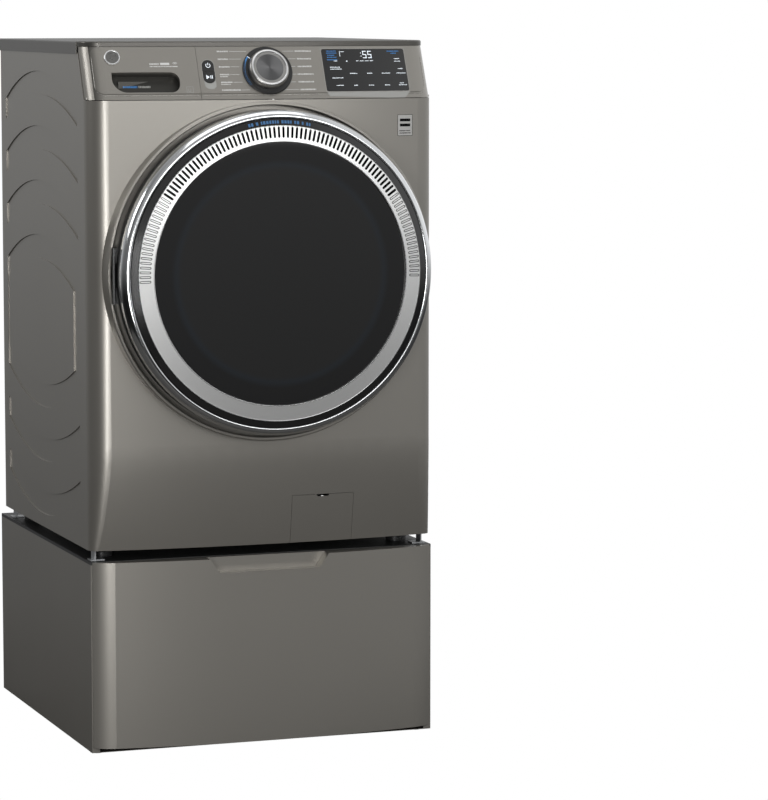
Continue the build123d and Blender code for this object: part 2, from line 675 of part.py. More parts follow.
FRAME_BORE = 176.0
with BuildPart() as door_inner_frame:
    turned([
        (FRAME_BORE, 62), (312, 62), (312, 77.5), (299.5, 77.5), (299.5, 123.7), (230, 123.7), (230, 120.7),
        (296.5, 120.7), (296.5, 74.5), (309, 74.5), (309, 65), (FRAME_BORE, 65),
    ])
    # posts that carry the outer glass
    for turn in range(12):
        angle = radians(30 * turn + 15)
        tube(245 * cos(angle), AXIS_Z + 245 * sin(angle), 5, 0, -131, -65)
    block((LATCH_X - 9, -66, AXIS_Z - LATCH_HALF), (LATCH_X + 9, -61, AXIS_Z + LATCH_HALF), Mode.SUBTRACT)
save(door_inner_frame, "door_inner_frame")

with BuildPart() as door_glass_bowl:
    turned([
        (190, 65.2), (190, 69), (171, 69), (150, -28), (138, -36), (0, -38), (0, -42), (140, -40),
        (154, -31), (175.5, 61.5), (175.5, 65.2),
    ])
save(door_glass_bowl, "door_glass_bowl")

LATCH_PIVOT_AHEAD = 78.0
with BuildPart() as latch_hook:
    with BuildSketch(Plane.XY.offset(AXIS_Z - LATCH_HALF + 2)):
        with BuildLine():
            Polyline(*[(LATCH_X + x, ahead(d)) for x, d in (
                (-4, 84), (4, 84), (4, 50), (8, 46), (3, 38), (-4, 38),
            )], close=True)
        make_face()
    extrude(amount=2 * LATCH_HALF - 4)
    post(LATCH_X, ahead(LATCH_PIVOT_AHEAD), AXIS_Z - LATCH_HALF - 4, AXIS_Z + LATCH_HALF + 4, 2)
save(latch_hook, "latch_hook")

with BuildPart() as door_lock:
    block((LATCH_X - 24, -56.3, AXIS_Z - 40), (LATCH_X + 22, -22, AXIS_Z + 40))
    latch_slot(-57, -30)
save(door_lock, "door_lock")

TUB_LIP = 46.0                  # tub's front face, behind the front edges
with BuildPart() as door_gasket:
    turned([
        (205, 48), (205, 22), (190, 12), (190, -20), (204, -38), (204, -TUB_LIP), (200, -TUB_LIP),
        (200, -40), (186, -22), (186, 14), (201, 24), (201, 48),
    ])
save(door_gasket, "door_gasket")

# ---------------------------------------------------------------- tub
TUB_SPLIT = 300.0
TUB_REAR = 566.0
TUB_WALL = 5.0
HUB_R = 45.0
BEARING_R = 26.0
BEARINGS = ((542.0, 555.0), (570.0, 583.0))
FLANGE_R = TUB_R + 12
EAR_TOP = 1152.0

with BuildPart() as tub_front:
    turned([
        (TUB_R, -TUB_SPLIT), (TUB_R, -TUB_LIP), (OPENING_R - 0.5, -TUB_LIP),
        (OPENING_R - 0.5, -TUB_LIP - TUB_WALL), (TUB_R - TUB_WALL, -TUB_LIP - TUB_WALL),
        (TUB_R - TUB_WALL, -TUB_SPLIT),
    ])
    tube(0, AXIS_Z, FLANGE_R, TUB_R - 1, TUB_SPLIT - 8, TUB_SPLIT)
save(tub_front, "tub_front")

with BuildPart() as tub_rear:
    turned([
        (TUB_R, -TUB_SPLIT), (TUB_R, -TUB_REAR), (HUB_R - 5, -TUB_REAR), (HUB_R - 5, -TUB_REAR + 6),
        (TUB_R - TUB_WALL, -TUB_REAR + 6), (TUB_R - TUB_WALL, -TUB_SPLIT),
    ])
    tube(0, AXIS_Z, FLANGE_R, TUB_R - 1, TUB_SPLIT, TUB_SPLIT + 8)
    # ribs across the rear wall
    for turn in range(6):
        with Locations(Location((0, back(TUB_REAR + 8), AXIS_Z), (0, 30 * turn, 0))):
            Box(6, 16, 2 * (TUB_R - 10))
    # ears for the springs and the dampers
    for side in (-1, 1):
        low, high = sorted((side * 212, side * (SPRING_X + 12)))
        for y in HANGERS:
            block((low, y - 10, EAR_TOP - 12), (high, y + 10, EAR_TOP))
        low, high = sorted((side * (DAMPER_X - 10), side * (DAMPER_X + 10)))
        for y in DAMPER_YS:
            block((low, y - 12, 700), (high, y + 12, 722))
    tube(0, AXIS_Z, HUB_R, 0, 540, 585)
    tube(0, AXIS_Z, BEARING_R, 0, 530, 590, Mode.SUBTRACT)
save(tub_rear, "tub_rear")

with BuildPart() as main_bearings:
    for start, end in BEARINGS:
        tube(0, AXIS_Z, BEARING_R, SHAFT_R + SLIDING, start, end)
save(main_bearings, "main_bearings")

with BuildPart() as counterweights:
    block((-140, 90, 1190), (140, 288, 1266))
    tube(0, AXIS_Z, TUB_R, 0, 80, 300, Mode.SUBTRACT)
    tube(0, AXIS_Z, TUB_R - 4, 215, 20, TUB_LIP)
    block((-300, 10, 900), (300, TUB_LIP + 1, 1300), Mode.SUBTRACT)
save(counterweights, "counterweights")

with BuildPart() as suspension_springs:
    for x in (-SPRING_X, SPRING_X):
        for y in HANGERS:
            post(x, back(y), EAR_TOP, HANGER_Z, 10, 8)
save(suspension_springs, "suspension_springs")

with BuildPart() as damper_rods:
    for x in (-DAMPER_X, DAMPER_X):
        for y in DAMPER_YS:
            post(x, back(y), 500, 700, 5)
save(damper_rods, "damper_rods")

with BuildPart() as damper_bodies:
    for x in (-DAMPER_X, DAMPER_X):
        for y in DAMPER_YS:
            post(x, back(y), BASE_LOW + 8, 600, 14)
            post(x, back(y), 470, 601, 5 + SLIDING, mode=Mode.SUBTRACT)
save(damper_bodies, "damper_bodies")

# ---------------------------------------------------------------- drum
DRUM_FRONT = 62.0
DRUM_REAR = 520.0
DRUM_WALL = 2.0
PULLEY_FRONT = 590.0
PULLEY_WIDE = 16.0
with BuildPart() as drum:
    turned([
        (DRUM_R, -DRUM_FRONT), (DRUM_R, -DRUM_REAR), (0, -DRUM_REAR), (0, -DRUM_REAR + DRUM_WALL),
        (DRUM_R - DRUM_WALL, -DRUM_REAR + DRUM_WALL), (DRUM_R - DRUM_WALL, -DRUM_FRONT - DRUM_WALL),
        (215, -DRUM_FRONT - DRUM_WALL), (215, -DRUM_FRONT),
    ])
save(drum, "drum")

with BuildPart() as drum_baffles:
    for turn in (0, 120, 240):
        across = (cos(radians(turn)), 0, -sin(radians(turn)))
        with BuildSketch(Plane(origin=(0, back(85), AXIS_Z), x_dir=across, z_dir=(0, -1, 0))):
            with BuildLine():
                Polyline((-38, 270), (-14, 212), (14, 212), (38, 270), close=True)
            make_face()
        extrude(amount=-410)
    tube(0, AXIS_Z, 320, DRUM_R - DRUM_WALL, 60, 520, Mode.SUBTRACT)
save(drum_baffles, "drum_baffles")

with BuildPart() as drum_spider:
    tube(0, AXIS_Z, 34, 0, DRUM_REAR, DRUM_REAR + 16)
    for turn in (0, 120, 240):
        with Locations(Location((0, back(DRUM_REAR + 7), AXIS_Z), (0, turn, 0))):
            with Locations((0, 0, 128)):
                Box(38, 14, 236)
    tube(0, AXIS_Z, SHAFT_R, 0, DRUM_REAR + 10, PULLEY_FRONT + PULLEY_WIDE + 14)
save(drum_spider, "drum_spider")

with BuildPart() as drum_pulley:
    tube(0, AXIS_Z, PULLEY_R, PULLEY_R - 7, PULLEY_FRONT, PULLEY_FRONT + PULLEY_WIDE)
    for turn in (0, 60, 120):
        with Locations(Location((0, back(PULLEY_FRONT + PULLEY_WIDE / 2), AXIS_Z), (0, turn, 0))):
            Box(18, 6, 2 * (PULLEY_R - 4))
    tube(0, AXIS_Z, 30, 0, PULLEY_FRONT - 1, PULLEY_FRONT + PULLEY_WIDE + 1)
    tube(0, AXIS_Z, SHAFT_R, 0, PULLEY_FRONT - 2, PULLEY_FRONT + PULLEY_WIDE + 2, Mode.SUBTRACT)
save(drum_pulley, "drum_pulley")

# ---------------------------------------------------------------- motor and belt
MOTOR_R = 55.0
MOTOR_SHAFT_R = 8.0
with BuildPart() as motor_housing:
    block((MOTOR_X - 30, 340, MOTOR_Z), (MOTOR_X + 30, 490, 692))
    tube(0, AXIS_Z, TUB_R, 0, 330, 500, Mode.SUBTRACT)
    tube(MOTOR_X, MOTOR_Z, MOTOR_R, 0, 330, 500)
    tube(MOTOR_X, MOTOR_Z, MOTOR_R - 5, 0, 335, 495, Mode.SUBTRACT)
    tube(MOTOR_X, MOTOR_Z, MOTOR_SHAFT_R + SLIDING, 0, 329, 501, Mode.SUBTRACT)
save(motor_housing, "motor_housing")

with BuildPart() as motor_rotor:
    tube(MOTOR_X, MOTOR_Z, MOTOR_R - 9, 0, 350, 480)
    tube(MOTOR_X, MOTOR_Z, MOTOR_SHAFT_R, 0, 331, PULLEY_FRONT)
    tube(MOTOR_X, MOTOR_Z, MOTOR_PULLEY_R, 0, PULLEY_FRONT - 2, PULLEY_FRONT + PULLEY_WIDE + 2)
save(motor_rotor, "motor_rotor")


def belt_loop(clearance):
    """The straight-sided loop round both pulleys, at a clearance from their rims."""
    middle = Plane(origin=(0, back(PULLEY_FRONT + 2), 0), x_dir=(1, 0, 0), z_dir=(0, -1, 0))
    with BuildSketch(middle) as loop:
        with Locations((0, AXIS_Z)):
            Circle(PULLEY_R + clearance)
        with Locations((MOTOR_X, MOTOR_Z)):
            Circle(MOTOR_PULLEY_R + clearance)
        make_hull()
    return loop.sketch


with BuildPart() as drive_belt:
    extrude(belt_loop(3.3), amount=-12)
    extrude(belt_loop(0.3), amount=-12, mode=Mode.SUBTRACT)
save(drive_belt, "drive_belt")

# ---------------------------------------------------------------- drain pump
PUMP_AXIS_X = 114.0
PUMP_AXIS_Z = 462.0
FILTER_R = 26.0
IMPELLER_R = 19.0
PUMP_SHAFT_R = 2.0
with BuildPart() as drain_pump_housing:
    turned([
        (FILTER_R + SLIDING, 26), (33, 26), (33, -96), (24, -96), (24, -150), (0, -150), (0, -110),
        (PUMP_SHAFT_R + SLIDING, -110), (PUMP_SHAFT_R + SLIDING, -92), (22, -92), (22, -66), (8, -66),
        (8, -60), (FILTER_R + SLIDING, -60),
    ], PUMP_AXIS_X, PUMP_AXIS_Z)
    block((PUMP_AXIS_X - 18, 6, BASE_TOP), (PUMP_AXIS_X + 18, 22, BASE_TOP + 4))
save(drain_pump_housing, "drain_pump_housing")

with BuildPart() as pump_filter:
    turned([(0, 34), (25, 34), (26, 33), (26, 18), (22, 18), (22, -56), (0, -56)], PUMP_AXIS_X, PUMP_AXIS_Z)
    block((PUMP_AXIS_X - 3, -40, PUMP_AXIS_Z - 20), (PUMP_AXIS_X + 3, -33, PUMP_AXIS_Z + 20))
    # lint slots through the cage
    x, z = PUMP_AXIS_X, PUMP_AXIS_Z
    for y in (0, 16, 32):
        block((x - 30, y, z - 14), (x + 30, y + 8, z + 14), Mode.SUBTRACT)
save(pump_filter, "pump_filter")

with BuildPart() as pump_impeller:
    tube(PUMP_AXIS_X, PUMP_AXIS_Z, 6, 0, 70, 88)
    tube(PUMP_AXIS_X, PUMP_AXIS_Z, PUMP_SHAFT_R, 0, 86, 108)
    for turn in (0, 60, 120):
        with Locations(Location((PUMP_AXIS_X, back(79), PUMP_AXIS_Z), (0, turn, 0))):
            Box(3, 16, 2 * IMPELLER_R)
save(pump_impeller, "pump_impeller")

# ---------------------------------------------------------------- pedestal
SHELL_TOP = PEDESTAL_TOP - 6
FLANGE_X = 316.0
with BuildPart() as pedestal_shell:
    block((-HALF, -PEDESTAL_LIP, PEDESTAL_BASE), (HALF, PEDESTAL_DEPTH, SHELL_TOP))
    inner_x = HALF - SHEET
    block((-inner_x, -30, PEDESTAL_BASE + SHEET), (inner_x, PEDESTAL_DEPTH - SHEET, 400), Mode.SUBTRACT)
    block((-FLANGE_X, 4, 0), (FLANGE_X, 668, PEDESTAL_BASE + SHEET), Mode.SUBTRACT)
    # flanges either side of the drawer opening
    for side in (-1, 1):
        low, high = sorted((side * 340, side * inner_x))
        block((low, -PEDESTAL_LIP, PEDESTAL_BASE), (high, -PEDESTAL_LIP + SHEET, SHELL_TOP))
    for x, y in PEDESTAL_FEET:
        post(x, back(y), 0, 12, FOOT_STEM_R + SLIDING, mode=Mode.SUBTRACT)
save(pedestal_shell, "pedestal_shell")

with BuildPart() as pedestal_top:
    block((-HALF, -PEDESTAL_LIP, SHELL_TOP), (HALF, PEDESTAL_DEPTH, PEDESTAL_TOP))
    inner_x, inner_rear = HALF - 3, PEDESTAL_DEPTH - 3
    block((-inner_x, 3 - PEDESTAL_LIP, SHELL_TOP - 1), (inner_x, inner_rear, PEDESTAL_TOP - 2), Mode.SUBTRACT)
    for x in range(-240, 241, 120):
        block((x - 2, -PEDESTAL_LIP + 2, SHELL_TOP), (x + 2, PEDESTAL_DEPTH - 2, PEDESTAL_TOP - 1))
save(pedestal_top, "pedestal_top")

DRAWER_CORNER = ((352.6, 22.0), (337.0, 32.5), (312.0, 42.0))
DRAWER_BACK = 21.4
DRAWER_Z = (16.0, 385.4)
NOTCH_TOP = 127.0
NOTCH_FOOT = 104.0
NOTCH_LOW = 357.0


def drawer_curve(depth):
    """Draws the drawer's bowed front, moved back by a depth; returns its ends."""
    right = [(x, ahead(d - depth)) for x, d in DRAWER_CORNER]
    left = [(-x, y) for x, y in right]
    ThreePointArc(*left)
    ThreePointArc(left[-1], (0, ahead(BOW - depth)), right[-1])
    ThreePointArc(*right)
    return left[0], right[0]


def notch(grow, front, rear, mode):
    """The handle notch in the drawer's top edge, grown by a wall, between two distances ahead."""
    with BuildSketch(Plane(origin=(0, ahead(front), 0), x_dir=(1, 0, 0), z_dir=(0, -1, 0))) as outline:
        with BuildLine() as edge:
            top = DRAWER_Z[1] if grow else DRAWER_Z[1] + 5
            Polyline(
                (-NOTCH_TOP - grow, top), (NOTCH_TOP + grow, top), (NOTCH_FOOT + grow, NOTCH_LOW - grow),
                (-NOTCH_FOOT - grow, NOTCH_LOW - grow), close=True,
            )
        make_face(edge.edges())
        fillet(outline.vertices().group_by(Axis.Y)[0], 8 + grow)
    extrude(outline.sketch, amount=rear - front, mode=mode)


with BuildPart() as drawer_front:
    with BuildSketch(Plane.XY.offset(DRAWER_Z[0])):
        with BuildLine():
            ends = drawer_curve(0.0)
            Polyline(ends[0], (ends[0][0], ahead(DRAWER_BACK)), (ends[1][0], ahead(DRAWER_BACK)), ends[1])
        make_face()
    extrude(amount=DRAWER_Z[1] - DRAWER_Z[0])
    block((-340, -30, DRAWER_Z[0] + 2), (340, -DRAWER_BACK + 1, DRAWER_Z[1] - 2), Mode.SUBTRACT)
    with BuildSketch(Plane.XY.offset(DRAWER_Z[0] + 2)):
        with BuildLine():
            a, b = (-312, ahead(40)), (312, ahead(40))
            ThreePointArc(a, (0, ahead(BOW - 2)), b)
            Polyline(a, (-312, ahead(25)), (312, ahead(25)), b)
        make_face()
    extrude(amount=DRAWER_Z[1] - DRAWER_Z[0] - 4, mode=Mode.SUBTRACT)
    notch(2, 60, 32, Mode.ADD)
    notch(0, 70, 34, Mode.SUBTRACT)
save(drawer_front, "drawer_front")

BOX_X = 318.0
BOX_Y = (-DRAWER_BACK, 640.0)
BOX_Z = (30.0, 330.0)
RAIL_Z = 190.0
with BuildPart() as drawer_box:
    block((-BOX_X, BOX_Y[0], BOX_Z[0]), (BOX_X, BOX_Y[1], BOX_Z[1]))
    block((-BOX_X + 2, BOX_Y[0] + 2, BOX_Z[0] + 2), (BOX_X - 2, BOX_Y[1] - 2, BOX_Z[1] + 1), Mode.SUBTRACT)
    for side in (-1, 1):
        low, high = sorted((side * (BOX_X - 0.5), side * (BOX_X + 6.5)))
        block((low, 10, RAIL_Z - 10), (high, 600, RAIL_Z + 10))
save(drawer_box, "drawer_box")

with BuildPart() as rail_middle:
    for side in (-1, 1):
        low, high = sorted((side * (BOX_X + 7), side * (BOX_X + 12)))
        block((low, 10, RAIL_Z - 18), (high, 600, RAIL_Z + 18))
save(rail_middle, "rail_middle")

with BuildPart() as rail_outer:
    for side in (-1, 1):
        low, high = sorted((side * (BOX_X + 12.5), side * (BOX_X + 16)))
        block((low, 10, RAIL_Z - 25), (high, 620, RAIL_Z + 25))
        low, high = sorted((side * (BOX_X + 15), side * (HALF - SHEET)))
        for y in (60, 300, 560):
            block((low, y, RAIL_Z - 12), (high, y + 40, RAIL_Z + 12))
save(rail_outer, "rail_outer")

# ---------------------------------------------------------------- screws
SCREW_R = 4.0
with BuildPart() as cabinet_screws:
    for x in (-346, 346):
        for z in (430, 640, 850, 1060, 1270):
            tube(x, z, SCREW_R, 0, DEPTH + SHEET, DEPTH + SHEET + 2)
    cover_back = DEPTH + 2 * SHEET + 0.1
    for x in (-ACCESS_HALF - 2, 0, ACCESS_HALF + 2):
        for z in (ACCESS_LOW + 60, ACCESS_HIGH - 60) if x else (ACCESS_LOW - 4, ACCESS_HIGH + 4):
            tube(x, z, SCREW_R, 0, cover_back, cover_back + 2)
save(cabinet_screws, "cabinet_screws")
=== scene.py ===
"""Looks for the front load washing machine on its storage drawer pedestal. Blender 4.5, metres.

Frame: +X to the right seen from the front, +Y from the front to the rear, +Z up, origin on the floor.
"""
import json
import math
import random

import bmesh
import bpy
from mathutils import Matrix, Vector
from mathutils.bvhtree import BVHTree


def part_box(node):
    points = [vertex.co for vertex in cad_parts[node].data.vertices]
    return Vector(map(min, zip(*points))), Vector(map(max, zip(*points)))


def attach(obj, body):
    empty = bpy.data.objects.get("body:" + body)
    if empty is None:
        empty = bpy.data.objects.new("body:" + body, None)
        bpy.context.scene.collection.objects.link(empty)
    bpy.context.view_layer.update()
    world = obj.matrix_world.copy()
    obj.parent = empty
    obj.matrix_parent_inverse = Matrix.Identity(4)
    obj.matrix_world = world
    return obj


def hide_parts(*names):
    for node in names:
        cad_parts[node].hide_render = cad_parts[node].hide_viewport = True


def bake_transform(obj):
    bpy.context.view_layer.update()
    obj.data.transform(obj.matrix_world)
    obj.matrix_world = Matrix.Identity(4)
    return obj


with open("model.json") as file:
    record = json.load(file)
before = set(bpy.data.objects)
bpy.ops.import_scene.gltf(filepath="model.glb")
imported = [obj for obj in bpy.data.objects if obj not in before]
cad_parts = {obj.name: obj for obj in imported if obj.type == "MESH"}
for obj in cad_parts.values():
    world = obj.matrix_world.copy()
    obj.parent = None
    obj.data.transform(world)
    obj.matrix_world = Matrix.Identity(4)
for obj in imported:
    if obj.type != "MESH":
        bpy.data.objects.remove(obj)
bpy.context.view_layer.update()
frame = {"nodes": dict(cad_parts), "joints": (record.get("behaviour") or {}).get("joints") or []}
NODES = frame["nodes"]
MM = 0.001
GRAIN_DEPTH = 0.2 * MM

# ---------------------------------------------------------------- places read from the model
CHROME_LOW, CHROME_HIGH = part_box("door_chrome_ring")
DOOR_CENTRE = Vector((0.0, 0.0, (CHROME_LOW.z + CHROME_HIGH.z) / 2))
VENT_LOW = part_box("vent_ring")[0]
PANEL_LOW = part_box("front_panel")[0]
KNOB = next(j for j in frame["joints"] if j["name"] == "cycle_knob_turn")
KNOB_ORIGIN = Vector(KNOB["pos_m"])
KNOB_AXIS = Vector(KNOB["axis"]).normalized()
FORWARD = (0, -1, 0)


# ---------------------------------------------------------------- material helpers
def material(name, color, metallic=0.0, roughness=0.5, **sockets):
    """A principled material; sockets are given by their names with spaces as underscores."""
    mat = bpy.data.materials.new(name)
    mat.use_nodes = True
    shader = mat.node_tree.nodes["Principled BSDF"]
    shader.inputs["Base Color"].default_value = (*color, 1.0)
    shader.inputs["Metallic"].default_value = metallic
    shader.inputs["Roughness"].default_value = roughness
    for key, value in sockets.items():
        shader.inputs[key.replace("_", " ")].default_value = value
    return mat


def node(owner, kind, **settings):
    """Adds a node; a setting named like an input sets it, with spaces as underscores, or else an attribute."""
    made = owner.node_tree.nodes.new(kind)
    for key, value in settings.items():
        socket = key.replace("_", " ")
        if socket in made.inputs:
            made.inputs[socket].default_value = value
        else:
            setattr(made, key, value)
    return made


def link(owner, source, target):
    owner.node_tree.links.new(source, target)


def shader_of(mat):
    return mat.node_tree.nodes["Principled BSDF"]


def coordinates(mat, scale=(1, 1, 1)):
    """Object coordinates, stretched."""
    place = node(mat, "ShaderNodeTexCoord")
    stretch = node(mat, "ShaderNodeMapping", Scale=scale)
    link(mat, place.outputs["Object"], stretch.inputs["Vector"])
    return stretch.outputs["Vector"]


def noise_of(mat, scale, detail, stretch=(1, 1, 1)):
    """Noise in object coordinates."""
    noise = node(mat, "ShaderNodeTexNoise", Scale=scale, Detail=detail)
    link(mat, coordinates(mat, stretch), noise.inputs["Vector"])
    return noise.outputs["Fac"]


def vary_roughness(mat, factor, low, high):
    spread = node(mat, "ShaderNodeMapRange", To_Min=low, To_Max=high)
    link(mat, factor, spread.inputs["Value"])
    link(mat, spread.outputs["Result"], shader_of(mat).inputs["Roughness"])


def emboss(mat, height, strength, distance):
    """Bump from a height."""
    raised = node(mat, "ShaderNodeBump", Strength=strength, Distance=distance)
    link(mat, height, raised.inputs["Height"])
    link(mat, raised.outputs["Normal"], shader_of(mat).inputs["Normal"])


def grain(mat, scale, bump, rough_low, rough_high, stretch=(1, 1, 1)):
    """Fine noise that drives a bump and a small change in roughness."""
    noise = noise_of(mat, scale, 3.0, stretch)
    vary_roughness(mat, noise, rough_low, rough_high)
    emboss(mat, noise, bump, GRAIN_DEPTH)
    return noise


def tint(mat, factor, low, high):
    """Base colour that varies between two colours."""
    mix = node(mat, "ShaderNodeMix", data_type="RGBA")
    mix.inputs[6].default_value = (*low, 1.0)
    mix.inputs[7].default_value = (*high, 1.0)
    link(mat, factor, mix.inputs[0])
    link(mat, mix.outputs[2], shader_of(mat).inputs["Base Color"])


def darker(color, share):
    return tuple(share * c for c in color)


def place_from(mat, centre):
    """The three parts of the object coordinates, measured from a centre."""
    place = node(mat, "ShaderNodeTexCoord")
    move = node(mat, "ShaderNodeVectorMath", operation="SUBTRACT")
    move.inputs[1].default_value = centre
    link(mat, place.outputs["Object"], move.inputs[0])
    split = node(mat, "ShaderNodeSeparateXYZ")
    link(mat, move.outputs["Vector"], split.inputs["Vector"])
    return split.outputs


def turn_about(mat, across, upright):
    """Angle round a centre, from upright."""
    angle = node(mat, "ShaderNodeMath", operation="ARCTAN2")
    link(mat, across, angle.inputs[0])
    link(mat, upright, angle.inputs[1])
    return angle.outputs["Value"]


# ---------------------------------------------------------------- materials
NICKEL = (0.345, 0.328, 0.298)
NICKEL_DARK = (0.315, 0.299, 0.270)
LID = (0.125, 0.119, 0.108)
BLUE = (0.045, 0.16, 0.36)
STEEL = (0.62, 0.62, 0.62)
HOLE_ROWS = 110
HOLE_PITCH = 0.0155          # distance between the drum's rings of holes
GLASS_RING = 0.212           # radius of the faint ring in the door's glass


def painted_nickel(name, light, dark):
    """Metallic enamel: flake sparkle, faint cloudiness and a clear coat."""
    mat = material(name, light, metallic=0.75, roughness=0.36, Coat_Weight=0.25, Coat_Roughness=0.15)
    tint(mat, noise_of(mat, 3.0, 2.0), dark, light)
    flake = noise_of(mat, 2600.0, 1.0)
    vary_roughness(mat, flake, 0.31, 0.43)
    orange_peel = noise_of(mat, 260.0, 2.0)
    emboss(mat, orange_peel, 0.05, 0.3 * MM)
    return mat


def moulded(name, color, roughness, bump=0.15):
    """Moulded plastic with a fine spark-eroded texture."""
    mat = material(name, color, roughness=roughness)
    noise = grain(mat, 900.0, bump, roughness - 0.06, roughness + 0.08)
    tint(mat, noise, darker(color, 0.85), color)
    return mat


SCOOP_SPOT = Vector((-0.240, -0.3218, 1.3121))         # on the drawer's face, beside the scoop
SCOOP_OUT = Vector((-0.0965, -0.9063, 0.4226)).normalized()
SCOOP_SHALLOW, SCOOP_DEEP = 0.003, 0.013               # depths where the painted shade starts and is full


def painted_scoop_shade():
    """Body paint with painted shade inside the drawer's scoop, darker by the depth below the sloping face."""
    mat = painted_nickel("scoop_painted_shade", NICKEL, NICKEL_DARK)
    colour = shader_of(mat).inputs["Base Color"].links[0].from_socket
    place = node(mat, "ShaderNodeTexCoord")
    depth = node(mat, "ShaderNodeVectorMath", operation="DOT_PRODUCT")
    depth.inputs[1].default_value = SCOOP_OUT
    link(mat, place.outputs["Object"], depth.inputs[0])
    level = SCOOP_SPOT.dot(SCOOP_OUT)
    shade = node(mat, "ShaderNodeMapRange",
                 From_Min=level - SCOOP_DEEP, From_Max=level - SCOOP_SHALLOW, To_Min=1.0, To_Max=0.0)
    link(mat, depth.outputs["Value"], shade.inputs["Value"])
    # the dark colour mixed in here is painted shade for the scoop's recess
    mix = node(mat, "ShaderNodeMix", data_type="RGBA")
    mix.inputs[7].default_value = (0.060, 0.058, 0.052, 1)
    link(mat, shade.outputs["Result"], mix.inputs[0])
    link(mat, colour, mix.inputs[6])
    link(mat, mix.outputs[2], shader_of(mat).inputs["Base Color"])
    return mat


def sheet_metal(name, color, roughness, stretch=(1, 1, 40)):
    """Rolled or plated sheet with a faint grain along one direction."""
    mat = material(name, color, metallic=1.0, roughness=roughness)
    noise = grain(mat, 60.0, 0.08, roughness - 0.08, roughness + 0.08, stretch)
    tint(mat, noise, darker(color, 0.88), color)
    return mat


def turned_metal(name, color, centre, metallic, roughness):
    """Metal brushed in fine radial lines about a centre."""
    mat = material(name, color, metallic=metallic, roughness=roughness)
    spot = place_from(mat, centre)
    lines = node(mat, "ShaderNodeTexNoise", noise_dimensions="1D", Scale=520.0, Detail=2.0)
    link(mat, turn_about(mat, spot["X"], spot["Z"]), lines.inputs["W"])
    vary_roughness(mat, lines.outputs["Fac"], roughness - 0.06, roughness + 0.08)
    tint(mat, lines.outputs["Fac"], darker(color, 0.86), color)
    return mat


def perforated_steel():
    """Drum sheet: brushed stainless with rows of small round holes round the wall, drawn as near-black dots of
    painted shade with a bump.
    """
    mat = material("drum_steel", STEEL, metallic=1.0, roughness=0.22)
    spot = place_from(mat, DOOR_CENTRE)
    round_wall = node(mat, "ShaderNodeMath", operation="MULTIPLY")
    round_wall.inputs[1].default_value = HOLE_ROWS / math.tau
    link(mat, turn_about(mat, spot["X"], spot["Z"]), round_wall.inputs[0])
    along = node(mat, "ShaderNodeMath", operation="DIVIDE")
    along.inputs[1].default_value = HOLE_PITCH
    link(mat, spot["Y"], along.inputs[0])
    cell = node(mat, "ShaderNodeCombineXYZ")
    link(mat, round_wall.outputs["Value"], cell.inputs["X"])
    link(mat, along.outputs["Value"], cell.inputs["Y"])
    dots = node(mat, "ShaderNodeTexVoronoi", voronoi_dimensions="2D", Scale=1.0, Randomness=0.0)
    link(mat, cell.outputs["Vector"], dots.inputs["Vector"])
    edge = node(mat, "ShaderNodeMapRange", From_Min=0.17, From_Max=0.21)
    link(mat, dots.outputs["Distance"], edge.inputs["Value"])
    # the holes are painted shade: near-black where the shaded tub would show through them
    tint(mat, edge.outputs["Result"], (0.01, 0.01, 0.01), STEEL)
    emboss(mat, edge.outputs["Result"], 0.8, 2.0 * MM)
    return mat


def door_glass():
    """Near-black glass with a faint blue ring where the inner bowl meets it."""
    mat = material("door_glass", (0.012, 0.012, 0.013), roughness=0.08, IOR=1.42)
    place = node(mat, "ShaderNodeTexCoord")
    flatten = node(mat, "ShaderNodeVectorMath", operation="MULTIPLY")
    flatten.inputs[1].default_value = (1, 1, 0)
    link(mat, place.outputs["Object"], flatten.inputs[0])
    reach = node(mat, "ShaderNodeVectorMath", operation="LENGTH")
    link(mat, flatten.outputs["Vector"], reach.inputs[0])
    ramp = node(mat, "ShaderNodeValToRGB")
    inside, outside = ramp.color_ramp.elements
    inside.position, inside.color = GLASS_RING - 0.010, (0.0215, 0.0215, 0.0215, 1)
    outside.position, outside.color = GLASS_RING + 0.010, (0.0165, 0.0165, 0.0168, 1)
    ramp.color_ramp.elements.new(GLASS_RING).color = (0.0200, 0.0230, 0.0270, 1)
    link(mat, reach.outputs["Value"], ramp.inputs["Fac"])
    link(mat, ramp.outputs["Color"], shader_of(mat).inputs["Base Color"])
    return mat


def lit_mark(name, color, glow):
    """A softly lit printed mark; on the drawer's printed blue mark, which has no lamp, the glow is painted
    light.
    """
    mat = material(name, color, roughness=0.4, Emission_Color=(*glow, 1), Emission_Strength=0.45)
    grain(mat, 600.0, 0.02, 0.35, 0.45)
    return mat


paint = painted_nickel("body_paint", NICKEL, NICKEL_DARK)
scoop_painted_shade = painted_scoop_shade()
lid_paint = painted_nickel("lid_paint", LID, darker(LID, 0.85))
zinc = sheet_metal("zinc", (0.55, 0.56, 0.57), 0.38)
dark_steel = sheet_metal("dark_steel", (0.10, 0.10, 0.10), 0.45)
stainless = sheet_metal("stainless", STEEL, 0.26)
alloy = moulded("cast_alloy", (0.42, 0.42, 0.42), 0.50, 0.5)
shader_of(alloy).inputs["Metallic"].default_value = 0.9
iron = moulded("cast_iron", (0.16, 0.16, 0.165), 0.85, 0.8)
chrome = material("chrome", (0.80, 0.81, 0.82), metallic=1.0, roughness=0.14)
grain(chrome, 700.0, 0.02, 0.12, 0.17)
vent_metal = turned_metal("vent_metal", (0.88, 0.88, 0.87), DOOR_CENTRE, 0.75, 0.34)
slot_black = moulded("slot_black", (0.003, 0.003, 0.003), 0.9)
shader_of(slot_black).inputs["Specular IOR Level"].default_value = 0.1
black_gloss = material("black_gloss", (0.012, 0.012, 0.012), roughness=0.16, Coat_Weight=0.5)
